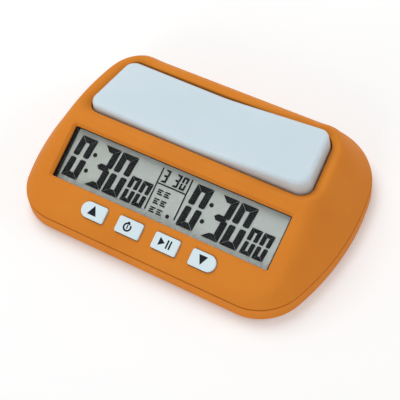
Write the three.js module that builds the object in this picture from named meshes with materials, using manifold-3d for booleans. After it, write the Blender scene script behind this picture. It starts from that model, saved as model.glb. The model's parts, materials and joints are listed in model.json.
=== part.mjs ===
// Digital chess clock: two-shell case, rocking lever in a well, segment display and four keys.
// Millimetres, +X to the right, +Y to the back, +Z up. The origin is on the table, at the
// centre of the case outline.

import * as THREE from 'three';
import { mergeVertices } from 'three/addons/utils/BufferGeometryUtils.js';
import Module from 'manifold-3d';

const wasm = await Module();
wasm.setup();

// ---------------------------------------------------------------- driving dimensions

const DEG = Math.PI / 180;
const GAP = 0.3;                    // running and seating gap between neighbouring pieces

// Case outline, seen from above: straight front and back, four arcs on each side.
const CASE_DEPTH = 103;
const FRONT_HALF = 47.8;            // half the straight front edge
const FRONT_RADIUS = 22.3;
const FRONT_TURN = 72.2 * DEG;      // heading of the outline where the front corner ends
const SIDE_RADIUS = 120.7;
const BACK_RADIUS = 32.2;

// Case section
const FOOT_DROP = 1.0;              // the case floor stands this far above the table
const PARTING_Z = 8.0;              // height of the seam between the two shells
const WALL = 2.0;                   // horizontal wall thickness
const FLOOR = 1.8;
const EDGE = 0.6;                   // rounding of the bottom edge
// How far the walls lean in, against the heading of the outline (0 front, 90 side, 180 back).
const LEANS = [[0, 41], [45, 34], [78, 32], [100, 32.6], [155, 32], [180, 35.8]]
  .map(([turn, lean]) => [turn * DEG, lean * DEG]);
const PLATEAU_Z = 31.9;             // top of the case round the lever
const FACE_TILT = 24.6 * DEG;       // slope of the front face
const FACE_START_Z = 9.93;          // height where the front face would meet the front edge
const SKIN = 2.0;                   // thickness of the front face
const PLANED = 0.25;                // allowance planed off the front face
const CREST_FRONT = 1.6;            // softness of the edge along the front
const CREST_SIDE = 6.6;             // softness of the shoulders
const CREST_BACK = 8.2;

// Lever and its well, measured back from the front edge of the case
const WELL_FRONT = 49.0;
const WELL_BACK = 82.6;
const WELL_FRONT_HALF = 57.0;
const WELL_BACK_HALF = 52.4;
const WELL_RADIUS = 6.4;
const WELL_FLOOR_Z = 16.5;
const WELL_WALL = 1.7;              // thickness of its walls and floor
const LIP_Z = 27.9;                 // where the lip of the well turns down
const LIP = { front: 5, side: 6, back: 3, rise: 2.1, backUp: 1.7 };    // its sloping lip
const LEVER_GAP = 0.45;
const LEVER_BEND = 3.8 * DEG;       // each half of the lever rises outwards by this much
const LEVER_ROCK = 2.4 * DEG;       // half of the rocking angle
const LEVER_CREST = 8.5;            // bend of the lever above the pin
const LEVER_SKIRT = -2.0;           // lower edge of the lever, from the pin
const LEVER_ROUND = 2.0;
const LEVER_DRAFT = 6 * DEG;        // its walls lean inwards above LEVER_DRAFT_FROM
const LEVER_DRAFT_FROM = 4.5;
const LEVER_WALL = 2.2;
const PIN_Z = 21;
const PIN_RADIUS = 1.5;
const PIN_LENGTH = 26;
const PLUNGER_X = 38;
const PLUNGER_RADIUS = 2;
const PLUNGER_LENGTH = 7;
const LUGS = [-12.6, 9.2];          // fronts of the two lugs that hang on the pin, from its middle
const LUG_THICK = 3.4;

// Display and keys. On the front face, s runs up the slope from the front edge and n is the
// height above the face.
const DISPLAY = { x: -0.3, s: 30.2 };
const OPENING = { width: 109.2, height: 24.8 };
const WINDOW = { width: 110.4, height: 26.4, thick: 0.8 };
const BEZEL = { width: 112.2, height: 30, viewWidth: 107, viewHeight: 24.4 };
const LCD = { width: 109.8, height: 28, bottom: -6, top: -4.3 };
const BEVEL = { out: 1.2, deep: 1.1 };
const KEY_S = 10.4;
const KEY_PITCH = 18.45;
const KEY = { width: 12.2, height: 7.4, radius: 1.0, proud: 1.0 };
const KEY_TRAVEL = 0.8;
const BOARD_TOP = -7.3;
const BOARD_THICK = 1.2;
const SWITCH_TOP = -4.6;

// Battery bay, underside and fasteners
const BAY_HALF = 31;
const BAY_FRONT = 81;
const CELL = { radius: 7.1, length: 49.2, nub: 1.2 };
const CELL_CENTRE = { v: 90.2, z: 10.2 };
const FOOT = { radius: 5, height: 1.5 };
const FOOT_SPOTS = { front: [56, 12], back: [50, 92] };
const SCREW_SPOTS = { front: [60, 24], back: [54.5, 75] };
const SWITCH_BOARD_Z = 8.4;

// ---------------------------------------------------------------- small helpers

// Distances measured back from the front edge, turned into Y.
const fromFront = (v) => v - CASE_DEPTH / 2;

function toSolid(geometry) {
  const bare = geometry.index ? geometry.clone() : geometry;
  bare.deleteAttribute('normal');
  bare.deleteAttribute('uv');
  const merged = mergeVertices(bare, 1e-4);
  return new wasm.Manifold(new wasm.Mesh({
    numProp: 3,
    vertProperties: new Float32Array(merged.attributes.position.array),
    triVerts: new Uint32Array(merged.index.array),
  }));
}

function toGeometry(solid) {
  const mesh = solid.getMesh();
  const geometry = new THREE.BufferGeometry();
  geometry.setAttribute('position', new THREE.BufferAttribute(mesh.vertProperties, 3));
  geometry.setIndex(new THREE.BufferAttribute(mesh.triVerts, 1));
  return geometry;
}

const unite = (first, ...others) => others.reduce((sum, solid) => sum.add(solid), first);
const cut = (first, ...others) => others.reduce((rest, solid) => rest.subtract(solid), first);

function box(x0, x1, y0, y1, z0, z1) {
  const geometry = new THREE.BoxGeometry(x1 - x0, y1 - y0, z1 - z0);
  return geometry.translate((x0 + x1) / 2, (y0 + y1) / 2, (z0 + z1) / 2);
}

// Cylinder standing on z0, axis along Z.
function rod(radius, x, y, z0, z1, sides = 16) {
  const geometry = new THREE.CylinderGeometry(radius, radius, z1 - z0, sides);
  return geometry.rotateX(Math.PI / 2).translate(x, y, (z0 + z1) / 2);
}

// Cylinder along Y.
function rodY(radius, x, z, y0, y1, sides = 16) {
  return new THREE.CylinderGeometry(radius, radius, y1 - y0, sides).translate(x, (y0 + y1) / 2, z);
}

// Cylinder along X.
function rodX(radius, y, z, x0, x1, sides = 24) {
  const geometry = new THREE.CylinderGeometry(radius, radius, x1 - x0, sides);
  return geometry.rotateZ(Math.PI / 2).translate((x0 + x1) / 2, y, z);
}

function plate(shape, z0, z1) {
  const geometry = new THREE.ExtrudeGeometry(shape, {
    depth: z1 - z0, bevelEnabled: false, curveSegments: 2,
  });
  return geometry.translate(0, 0, z0);
}

function roundedRectangle(width, height, radius) {
  const x = width / 2;
  const y = height / 2;
  const shape = new THREE.Shape();
  shape.absarc(x - radius, y - radius, radius, 0, Math.PI / 2);
  shape.absarc(radius - x, y - radius, radius, Math.PI / 2, Math.PI);
  shape.absarc(radius - x, radius - y, radius, Math.PI, 1.5 * Math.PI);
  shape.absarc(x - radius, radius - y, radius, 1.5 * Math.PI, 2 * Math.PI);
  return shape;
}

// Closed body through a stack of rings that all have the same number of points, with a fan
// over each end. A ring runs anticlockwise seen from above, and the stack runs upwards.
function stack(rings) {
  const count = rings[0].length;
  const positions = rings.flat().flatMap((p) => [p.x, p.y, p.z]);
  const index = [];
  for (let ring = 0; ring + 1 < rings.length; ring += 1) {
    for (let i = 0; i < count; i += 1) {
      const a = ring * count + i;
      const b = ring * count + (i + 1) % count;
      index.push(a, b, b + count, a, b + count, a + count);
    }
  }
  const top = (rings.length - 1) * count;
  for (let i = 1; i + 1 < count; i += 1) {
    index.push(0, i + 1, i);
    index.push(top, top + i, top + i + 1);
  }
  const geometry = new THREE.BufferGeometry();
  geometry.setAttribute('position', new THREE.Float32BufferAttribute(positions, 3));
  geometry.setIndex(index);
  return geometry;
}

const faceFrame = new THREE.Matrix4()
  .makeRotationX(FACE_TILT)
  .setPosition(0, fromFront(0), FACE_START_Z);

// A geometry drawn in the (x, s, n) frame of the front face, placed on the case.
const onFace = (geometry) => geometry.applyMatrix4(faceFrame);

function material(color, roughness, metalness = 0) {
  return new THREE.MeshStandardMaterial({ color, roughness, metalness });
}

const orangePlastic = material(0xd6842e, 0.42);
const whitePlastic = material(0xdfe6ea, 0.38);
const keyPlastic = material(0xe6ecef, 0.4);
const blackPlastic = material(0x17181a, 0.5);
const clearPlastic = material(0xdfe5e2, 0.08);
const displayGlass = material(0xb3b9b2, 0.2);
const rubber = material(0x2a2a2c, 0.85);
const boardLaminate = material(0x2f6b3c, 0.55);
const epoxy = material(0x111214, 0.4);
const steel = material(0xb9bcc0, 0.3, 1);
const brass = material(0xc7a24a, 0.35, 1);
const springSteel = material(0xcfd2d4, 0.28, 1);
const cellWrap = material(0x5d7f96, 0.35);

const clock = new THREE.Group();
const facePieces = new THREE.Group();
facePieces.applyMatrix4(faceFrame);
clock.add(facePieces);

function piece(name, shape, surface, parent = clock) {
  const geometry = shape instanceof THREE.BufferGeometry ? shape : toGeometry(shape);
  const mesh = new THREE.Mesh(geometry, surface);
  mesh.name = name;
  parent.add(mesh);
  return mesh;
}

// ---------------------------------------------------------------- case outline and surface

// Heading of the outline where the side arc meets the back corner, from the case depth.
const SIDE_CENTRE = {
  x: FRONT_HALF + (FRONT_RADIUS - SIDE_RADIUS) * Math.sin(FRONT_TURN),
  v: FRONT_RADIUS + (SIDE_RADIUS - FRONT_RADIUS) * Math.cos(FRONT_TURN),
};
const BACK_TURN = Math.acos(
  -(CASE_DEPTH - BACK_RADIUS - SIDE_CENTRE.v) / (SIDE_RADIUS - BACK_RADIUS),
);
const BACK_CENTRE = {
  x: SIDE_CENTRE.x + (SIDE_RADIUS - BACK_RADIUS) * Math.sin(BACK_TURN),
  v: CASE_DEPTH - BACK_RADIUS,
};

// Right half of the outline from front centre to back centre, moved inwards by inset.
// Each point keeps the outline's heading: 0 along the front, half a turn along the back.
function halfOutline(inset) {
  const points = [{ x: 0, v: inset, turn: 0 }, { x: FRONT_HALF / 2, v: inset, turn: 0 }];
  const arc = (cx, cv, radius, from, to, steps, skipFirst) => {
    for (let i = skipFirst ? 1 : 0; i <= steps; i += 1) {
      const turn = from + (to - from) * i / steps;
      const x = cx + (radius - inset) * Math.sin(turn);
      const v = cv - (radius - inset) * Math.cos(turn);
      points.push({ x, v, turn });
    }
  };
  arc(FRONT_HALF, FRONT_RADIUS, FRONT_RADIUS, 0, FRONT_TURN, 6, false);
  arc(SIDE_CENTRE.x, SIDE_CENTRE.v, SIDE_RADIUS, FRONT_TURN, Math.PI / 2, 3, true);
  arc(SIDE_CENTRE.x, SIDE_CENTRE.v, SIDE_RADIUS, Math.PI / 2, BACK_TURN, 2, true);
  arc(BACK_CENTRE.x, BACK_CENTRE.v, BACK_RADIUS, BACK_TURN, Math.PI, 5, true);
  points.push({ x: BACK_CENTRE.x / 2, v: CASE_DEPTH - inset, turn: Math.PI });
  points.push({ x: 0, v: CASE_DEPTH - inset, turn: Math.PI });
  return points;
}

function wholeOutline(inset) {
  const right = halfOutline(inset);
  const left = right.slice(1, -1).reverse().map((p) => ({ ...p, x: -p.x }));
  return right.concat(left);
}

const ringAt = (inset, z) => wholeOutline(inset).map((p) => new THREE.Vector3(p.x, fromFront(p.v), z));

function smoothMin(a, b, softness) {
  const overlap = Math.max(softness - Math.abs(a - b), 0) / softness;
  return Math.min(a, b) - overlap * overlap * softness / 4;
}

function leanAt(turn) {
  const next = LEANS.findIndex(([heading]) => heading >= turn - 1e-9);
  if (next <= 0) return LEANS[0][1];
  const [[fromTurn, fromLean], [toTurn, toLean]] = [LEANS[next - 1], LEANS[next]];
  return THREE.MathUtils.lerp(fromLean, toLean, (turn - fromTurn) / (toTurn - fromTurn));
}

function crestSoftness(turn) {
  const end = turn < Math.PI / 2 ? CREST_FRONT : CREST_BACK;
  return end + (CREST_SIDE - end) * Math.sin(turn) ** 2;
}

// Height of the top surface at distance v from the front edge, where the leaning wall has
// already run inwards by reach. lowered sinks the surface to give the inside of the skin.
function surfaceHeight(v, reach, turn, lowered) {
  const face = FACE_START_Z + v * Math.tan(FACE_TILT) - lowered / Math.cos(FACE_TILT);
  const top = smoothMin(face, PLATEAU_Z - lowered, 3);
  const wall = PARTING_Z + reach / Math.tan(leanAt(turn));
  const softness = crestSoftness(turn) * (lowered > 0 ? 0.5 : 1);
  return smoothMin(top, wall, softness);
}

// Solid under the top surface. start is the inset of the outline at the parting level. It is
// built a little proud of the front face and then planed, which leaves the face flat.
function domeSolid(start, lowered, bottomZ) {
  const reaches = [1.4, 2.2, 3.2, 6, 9, 12, 14.5, 17];
  const shrinks = [0.72, 0.25];
  const centreV = CASE_DEPTH / 2;
  const rings = [ringAt(start, bottomZ)];
  if (bottomZ < PARTING_Z) rings.push(ringAt(start, PARTING_Z));
  for (const reach of reaches) {
    rings.push(wholeOutline(start + reach).map((p) => {
      const z = surfaceHeight(p.v, reach, p.turn, lowered - PLANED);
      return new THREE.Vector3(p.x, fromFront(p.v), z);
    }));
  }
  const innermost = wholeOutline(start + reaches.at(-1));
  for (const shrink of shrinks) {
    rings.push(innermost.map((p) => {
      const v = centreV + (p.v - centreV) * shrink;
      const z = surfaceHeight(v, 60, p.turn, lowered - PLANED);
      return new THREE.Vector3(p.x * shrink, fromFront(v), z);
    }));
  }
  const planer = onFace(box(-100, 100, -30, 200, -lowered, 60));
  return cut(toSolid(stack(rings)), toSolid(planer));
}

// ---------------------------------------------------------------- outlines of well and lever

// Rounded trapezoid of the lever well as one ring of points. grow moves it outwards: a length, or
// a function of the heading and of the distance from the middle of the well. z is a height, or
// a function of the heading.
function wellRing(grow, z) {
  const growAt = typeof grow === 'function' ? grow : () => grow;
  const heightAt = typeof z === 'function' ? z : () => z;
  const taper = Math.atan2(WELL_FRONT_HALF - WELL_BACK_HALF, WELL_BACK - WELL_FRONT);
  const sideAt = (v) => WELL_FRONT_HALF - (v - WELL_FRONT) * Math.tan(taper);
  const centreX = (v) => sideAt(v) - WELL_RADIUS / Math.cos(taper);
  const frontV = WELL_FRONT + WELL_RADIUS;
  const backV = WELL_BACK - WELL_RADIUS;
  const right = [new THREE.Vector3(0, fromFront(WELL_FRONT - growAt(0, 0)), heightAt(0))];
  const sweep = (v, from, to) => {
    const steps = 5;
    for (let i = 0; i <= steps; i += 1) {
      const turn = from + (to - from) * i / steps;
      const radius = WELL_RADIUS + growAt(turn, centreX(v) + WELL_RADIUS * Math.sin(turn));
      const x = centreX(v) + radius * Math.sin(turn);
      right.push(new THREE.Vector3(x, fromFront(v - radius * Math.cos(turn)), heightAt(turn)));
    }
  };
  sweep(frontV, 0, Math.PI / 2 + taper);
  sweep(backV, Math.PI / 2 + taper, Math.PI);
  const backY = fromFront(WELL_BACK + growAt(Math.PI, 0));
  right.push(new THREE.Vector3(0, backY, heightAt(Math.PI)));
  const left = right.slice(1, -1).reverse().map((p) => new THREE.Vector3(-p.x, p.y, p.z));
  return right.concat(left);
}

const wellColumn = (grow, z0, z1) => toSolid(stack([wellRing(grow, z0), wellRing(grow, z1)]));

// Width of the sloping lip at a heading.
function lipWidth(turn) {
  const end = turn < Math.PI / 2 ? LIP.front : LIP.back;
  return end + (LIP.side - end) * Math.sin(turn) ** 2;
}

// Everything over the slope of the lip, taken twice as far out as the lip is wide and moved
// down by lowered.
function overLip(lowered) {
  const far = (turn) => 2 * lipWidth(turn);
  const near = (turn) => LIP_Z + LIP.backUp * Math.max(0, -Math.cos(turn)) - lowered;
  const farZ = (turn) => near(turn) + 2 * LIP.rise;
  return toSolid(stack([wellRing(0, near), wellRing(far, farZ), wellRing(far, 60)]));
}

// ---------------------------------------------------------------- keys

const KEYS = [
  { name: 'up', slot: -1.5, roundEnd: -1 },
  { name: 'timer', slot: -0.5, roundEnd: 0 },
  { name: 'play_pause', slot: 0.5, roundEnd: 0 },
  { name: 'down', slot: 1.5, roundEnd: 1 },
];

// Outline of a key, grown by grow. roundEnd -1 or 1 makes the left or right end a half circle.
function keyShape(roundEnd, grow) {
  const x = KEY.width / 2 + grow;
  const y = KEY.height / 2 + grow;
  const small = KEY.radius + grow;
  const right = roundEnd > 0 ? y : small;
  const left = roundEnd < 0 ? y : small;
  const shape = new THREE.Shape();
  shape.absarc(x - right, y - right, right, 0, Math.PI / 2);
  shape.absarc(left - x, y - left, left, Math.PI / 2, Math.PI);
  shape.absarc(left - x, left - y, left, Math.PI, 1.5 * Math.PI);
  shape.absarc(x - right, right - y, right, 1.5 * Math.PI, 2 * Math.PI);
  return shape;
}

function keyPlate(key, grow, n0, n1) {
  return plate(keyShape(key.roundEnd, grow), n0, n1).translate(key.slot * KEY_PITCH, KEY_S, 0);
}

// ---------------------------------------------------------------- upper case

const displayPlate = (shape, n0, n1) => plate(shape, n0, n1).translate(DISPLAY.x, DISPLAY.s, 0);
const mirrored = ([x, v]) => [[-x, v], [x, v]];
const screwSpots = [...mirrored(SCREW_SPOTS.front), ...mirrored(SCREW_SPOTS.back)];
const BOARD_SCREW_X = 42;
const SWITCH_SCREW_X = 18;
const LEVER_V = (WELL_FRONT + WELL_BACK) / 2;
const PEDESTALS = [LEVER_V - 7.5, LEVER_V + 4];
const PEDESTAL_THICK = 3.5;
const LIP_DEPTH = 2.4;               // material under the slope of the lip

function displayCut() {
  const rim = (out, n) => [[-1, -1], [1, -1], [1, 1], [-1, 1]].map(([sx, sy]) => {
    const x = DISPLAY.x + sx * (OPENING.width / 2 + out);
    return new THREE.Vector3(x, DISPLAY.s + sy * (OPENING.height / 2 + out), n);
  });
  const through = stack([rim(0, -2 * SKIN), rim(0, SKIN)]);
  const flare = BEVEL.out / BEVEL.deep;
  const bevel = stack([rim(0, -BEVEL.deep), rim(BEVEL.out + flare, 1)]);
  return unite(toSolid(onFace(through)), toSolid(onFace(bevel)));
}

function upperCase() {
  const outside = domeSolid(0, 0, PARTING_Z + GAP / 2);
  const cavity = domeSolid(WALL, SKIN, PARTING_Z - 2);
  const wellTray = wellColumn(WELL_WALL, WELL_FLOOR_Z - WELL_WALL, 60);
  const wellBlock = unite(wellTray, overLip(LIP_DEPTH));
  let shell = unite(cut(outside, cavity), wellBlock.intersect(outside));
  shell = cut(shell, wellColumn(0, WELL_FLOOR_Z, 60), overLip(0));

  const seam = PARTING_Z + GAP / 2;
  for (const [x, v] of screwSpots) {
    const bossTop = v < WELL_FRONT ? PLATEAU_Z : WELL_FLOOR_Z - 1;
    const boss = toSolid(rod(3.6, x, fromFront(v), seam, bossTop)).intersect(outside);
    shell = cut(unite(shell, boss), toSolid(rod(1.7, x, fromFront(v), 0, 12.6)));
  }
  for (const side of [-1, 1]) {
    const post = toSolid(onFace(rod(2.6, side * BOARD_SCREW_X, KEY_S, BOARD_TOP + GAP, -SKIN / 2)));
    const hole = toSolid(onFace(rod(1.2, side * BOARD_SCREW_X, KEY_S, BOARD_TOP, -SKIN - 1)));
    const hanger = toSolid(rod(2.6, side * SWITCH_SCREW_X, fromFront(LEVER_V),
      SWITCH_BOARD_Z + BOARD_THICK + GAP, WELL_FLOOR_Z - 1));
    const hangerHole = toSolid(rod(1.2, side * SWITCH_SCREW_X, fromFront(LEVER_V), 8, 14));
    const plungerHole = toSolid(rod(PLUNGER_RADIUS + GAP, side * PLUNGER_X, fromFront(LEVER_V), 10, 20));
    shell = cut(unite(shell, post, hanger), hole, hangerHole, plungerHole);
  }
  for (const v of PEDESTALS) {
    const y0 = fromFront(v);
    const y1 = y0 + PEDESTAL_THICK;
    const upright = toSolid(box(-4, 4, y0, y1, WELL_FLOOR_Z - 1, PIN_Z));
    const head = toSolid(rodY(4, 0, PIN_Z, y0, y1));
    const bore = toSolid(rodY(PIN_RADIUS + GAP, 0, PIN_Z, y0 - 1, y1 + 1));
    shell = cut(unite(shell, upright, head), bore);
  }
  const keyHoles = KEYS.map((key) => toSolid(onFace(keyPlate(key, GAP, -SKIN - 2, 3))));
  return cut(shell, displayCut(), ...keyHoles);
}

piece('upper_case', upperCase(), orangePlastic);

// ---------------------------------------------------------------- lower case

const SOUND_HOLES = { x: -30, v: 62, radius: 1, ring: 5, count: 6 };
const POWER_SPOT = { x: 34, v: 60 };
const POWER_TRAVEL = 3;
const BUZZER = { radius: 10, height: 4 };

function soundHoles() {
  const holes = [rod(SOUND_HOLES.radius, SOUND_HOLES.x, fromFront(SOUND_HOLES.v), 0, 4, 8)];
  for (let i = 0; i < SOUND_HOLES.count; i += 1) {
    const turn = 2 * Math.PI * i / SOUND_HOLES.count;
    const x = SOUND_HOLES.x + SOUND_HOLES.ring * Math.cos(turn);
    const y = fromFront(SOUND_HOLES.v) + SOUND_HOLES.ring * Math.sin(turn);
    holes.push(rod(SOUND_HOLES.radius, x, y, 0, 4, 8));
  }
  return holes.map(toSolid);
}

function lowerCase() {
  const top = PARTING_Z - GAP / 2;
  const floorTop = FOOT_DROP + FLOOR;
  const outside = stack([
    ringAt(EDGE, FOOT_DROP),
    ringAt(0.3 * EDGE, FOOT_DROP + 0.3 * EDGE),
    ringAt(0, FOOT_DROP + EDGE),
    ringAt(0, top),
  ]);
  const hollow = stack([ringAt(WALL, floorTop), ringAt(WALL, top + 1)]);
  let tray = cut(toSolid(outside), toSolid(hollow));

  for (const [x, v] of screwSpots) {
    const boss = toSolid(rod(4.4, x, fromFront(v), FOOT_DROP + 0.5, top - GAP));
    const counterbore = toSolid(rod(3.3, x, fromFront(v), 0, 4.5));
    const hole = toSolid(rod(1.7, x, fromFront(v), 0, 10));
    tray = cut(unite(tray, boss), counterbore, hole);
  }
  for (const [x, v] of [...mirrored(FOOT_SPOTS.front), ...mirrored(FOOT_SPOTS.back)]) {
    tray = cut(tray, toSolid(rod(FOOT.radius + GAP, x, fromFront(v), 0, FOOT_DROP + 0.8)));
  }

  // Battery bay: open through the floor and the back band, with a rib on three sides.
  const bayFront = fromFront(BAY_FRONT);
  const ribTop = 7.2;
  const ribThick = 1.6;
  const ribBottom = floorTop - 0.5;
  const ribOut = BAY_HALF + ribThick;
  const back = fromFront(CASE_DEPTH);
  const ribs = unite(
    toSolid(box(-ribOut, ribOut, bayFront - ribThick, bayFront, ribBottom, ribTop)),
    toSolid(box(-ribOut, -BAY_HALF, bayFront - 1, back - 1, ribBottom, ribTop)),
    toSolid(box(BAY_HALF, ribOut, bayFront - 1, back - 1, ribBottom, ribTop)),
  );
  const bay = toSolid(box(-BAY_HALF, BAY_HALF, bayFront, back + 5, 0, top + 2));
  tray = cut(unite(tray, ribs), bay);

  const slotY = fromFront(POWER_SPOT.v);
  const slot = toSolid(box(POWER_SPOT.x - 1.5 - POWER_TRAVEL - GAP, POWER_SPOT.x + 1.5 + GAP,
    slotY - 1.5 - GAP, slotY + 1.5 + GAP, 0, 4));
  return cut(tray, slot, ...soundHoles());
}

piece('lower_case', lowerCase(), orangePlastic);

// ---------------------------------------------------------------- battery bay

const doorFront = BAY_FRONT + GAP;
const doorHalf = BAY_HALF - GAP;
const GRIP = { half: 7, fromBack: 10 };    // finger grooves of the door

function batteryDoor() {
  const backY = fromFront(CASE_DEPTH);
  const floorTop = FOOT_DROP + FLOOR;
  const bandTop = PARTING_Z - GAP / 2;
  const frontY = fromFront(doorFront);
  const floorPlate = toSolid(box(-doorHalf, doorHalf, frontY, backY - EDGE, FOOT_DROP, floorTop));
  const backBand = toSolid(box(-doorHalf, doorHalf, backY - WALL, backY, FOOT_DROP + EDGE, bandTop));
  const grip = [-3, -1, 1, 3].map((shift) => {
    const middle = backY - GRIP.fromBack + shift;
    return toSolid(box(-GRIP.half, GRIP.half, middle - 0.4, middle + 0.4, 0, FOOT_DROP + 0.4));
  });
  return cut(unite(floorPlate, backBand), ...grip);
}

piece('battery_door', batteryDoor(), orangePlastic);

function batteryCell() {
  const { radius, length, nub } = CELL;
  const half = length / 2;
  const profile = [
    [0, -half], [radius - 0.5, -half], [radius, -half + 0.5], [radius, half - 0.5],
    [radius - 0.5, half], [2.6, half], [2.6, half + nub], [0, half + nub],
  ].map(([x, y]) => new THREE.Vector2(x, y));
  return new THREE.LatheGeometry(profile, 20)
    .rotateZ(-Math.PI / 2)
    .translate(0, fromFront(CELL_CENTRE.v), CELL_CENTRE.z);
}

piece('battery_cell', toSolid(batteryCell()), cellWrap);

// Coil spring pressing on the flat end of the cell.
class Helix extends THREE.Curve {
  constructor(x0, x1, startRadius, endRadius, turns) {
    super();
    Object.assign(this, { x0, x1, startRadius, endRadius, turns });
  }

  getPoint(t, target = new THREE.Vector3()) {
    const radius = this.startRadius + (this.endRadius - this.startRadius) * t;
    const angle = 2 * Math.PI * this.turns * t;
    return target.set(
      this.x0 + (this.x1 - this.x0) * t,
      fromFront(CELL_CENTRE.v) + radius * Math.cos(angle),
      CELL_CENTRE.z + radius * Math.sin(angle),
    );
  }
}

function batterySpring() {
  const wire = 0.4;
  const section = new THREE.Shape();
  section.absarc(0, 0, wire, 0, 2 * Math.PI);
  const left = -CELL.length / 2;
  const path = new Helix(-BAY_HALF + 1.8, left - GAP - wire, 4.8, 2.6, 3.5);
  return new THREE.ExtrudeGeometry(section, {
    extrudePath: path, steps: 42, curveSegments: 3, bevelEnabled: false,
  });
}

piece('battery_spring', toSolid(batterySpring()), springSteel);

function batteryContact(x) {
  const y = fromFront(CELL_CENTRE.v);
  return box(x, x + 0.6, y - 5, y + 5, 4.5, 15);
}

const contactRight = CELL.length / 2 + CELL.nub + GAP;
piece('battery_contact_positive', batteryContact(contactRight), brass);
piece('battery_contact_negative', batteryContact(-BAY_HALF + 0.4), brass);

// ---------------------------------------------------------------- display stack

const windowTop = -SKIN - GAP;

function displayWindow() {
  const outline = roundedRectangle(WINDOW.width, WINDOW.height, 1);
  return displayPlate(outline, windowTop - WINDOW.thick, windowTop);
}

function displayFrame() {
  const frameTop = windowTop - WINDOW.thick - GAP;
  const frameBottom = LCD.bottom + 0.1;
  const outer = displayPlate(roundedRectangle(BEZEL.width, BEZEL.height, 1), frameBottom, frameTop);
  const view = displayPlate(roundedRectangle(BEZEL.viewWidth, BEZEL.viewHeight, 0.4), -7, -3);
  const pocketShape = roundedRectangle(LCD.width + 2 * GAP, LCD.height + 2 * GAP, 0.4);
  return cut(toSolid(outer), toSolid(view), toSolid(displayPlate(pocketShape, -7, LCD.top + GAP)));
}

function lcdPanel() {
  return displayPlate(roundedRectangle(LCD.width, LCD.height, 0.3), LCD.bottom, LCD.top);
}

piece('display_window', displayWindow(), clearPlastic, facePieces);
piece('display_frame', displayFrame(), blackPlastic, facePieces);
piece('lcd_panel', lcdPanel(), displayGlass, facePieces);

const connectorS = DISPLAY.s - 12.4;
const connector = box(-50, 50, connectorS - 1, connectorS + 1, BOARD_TOP + GAP, LCD.bottom - GAP);
piece('lcd_connector', connector, rubber, facePieces);

// ---------------------------------------------------------------- main board and its parts

const BOARD_BOTTOM = BOARD_TOP - BOARD_THICK;

function mainBoard() {
  const board = box(-55.5, 55.5, 6.6, 46, BOARD_BOTTOM, BOARD_TOP);
  const holes = [-1, 1].map((side) => rod(1.4, side * BOARD_SCREW_X, KEY_S, -12, -5, 16));
  return cut(toSolid(board), ...holes.map(toSolid));
}

piece('main_board', mainBoard(), boardLaminate, facePieces);

function controllerChip() {
  const profile = [[0, -1.6], [3.2, -1.3], [5.2, -0.7], [6, 0], [0, 0]]
    .map(([x, y]) => new THREE.Vector2(x, y));
  return new THREE.LatheGeometry(profile, 14)
    .rotateX(Math.PI / 2)
    .translate(-18, 32, BOARD_BOTTOM - GAP);
}

piece('controller_chip', toSolid(controllerChip()), epoxy, facePieces);
piece('timing_crystal', rodX(1, 30, BOARD_BOTTOM - GAP - 1, 2, 8, 16), steel, facePieces);

for (const side of [-1, 1]) {
  const x = side * BOARD_SCREW_X;
  const head = toSolid(rod(2.2, x, KEY_S, BOARD_BOTTOM - GAP - 1.2, BOARD_BOTTOM - GAP, 20));
  const shank = toSolid(rod(0.9, x, KEY_S, BOARD_BOTTOM - 1, BOARD_TOP + GAP + 3, 12));
  piece(side < 0 ? 'board_screw_left' : 'board_screw_right', unite(head, shank), steel, facePieces);
}

// ---------------------------------------------------------------- keys and their switches

function key(spec) {
  const cap = toSolid(keyPlate(spec, 0, -SKIN - GAP - 0.5, KEY.proud - 0.3));
  const crown = toSolid(keyPlate(spec, -0.3, 0, KEY.proud));
  const flange = toSolid(keyPlate(spec, 0.9, -SKIN - GAP - 0.9, -SKIN - GAP));
  return unite(cap, crown, flange);
}

function keySwitch(x) {
  const body = toSolid(box(x - 3, x + 3, KEY_S - 3, KEY_S + 3, BOARD_TOP + GAP, SWITCH_TOP));
  const pocketFloor = BOARD_TOP + 2 * GAP;
  return cut(body, toSolid(rod(1.9, x, KEY_S, pocketFloor, 0, 20)));
}

for (const spec of KEYS) {
  const x = spec.slot * KEY_PITCH;
  const actuatorTop = -SKIN - GAP - 0.9 - GAP;
  const actuatorBottom = BOARD_TOP + 3 * GAP + KEY_TRAVEL;
  piece(`button_${spec.name}`, key(spec), keyPlastic, facePieces);
  piece(`key_switch_${spec.name}`, keySwitch(x), blackPlastic, facePieces);
  const actuator = rod(1.6, x, KEY_S, actuatorBottom, actuatorTop, 20);
  piece(`key_actuator_${spec.name}`, actuator, blackPlastic, facePieces);
}

// ---------------------------------------------------------------- lever, pin and lever switches

// Half of the lever's top surface, level at the pin and rising outwards.
const leverTop = (x, drop) => LEVER_CREST + Math.abs(x) * Math.tan(LEVER_BEND) - drop;

// Ring of the lever outline in the lever's own frame, whose origin is the middle of the pin.
// insetAt gives how far it lies inside the running gap, from the distance to the middle.
function leverRing(insetAt, heightAt) {
  return wellRing((turn, x) => -LEVER_GAP - insetAt(x), 0).map((p) => {
    return new THREE.Vector3(p.x, p.y - fromFront(LEVER_V), heightAt(p.x));
  });
}

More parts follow.
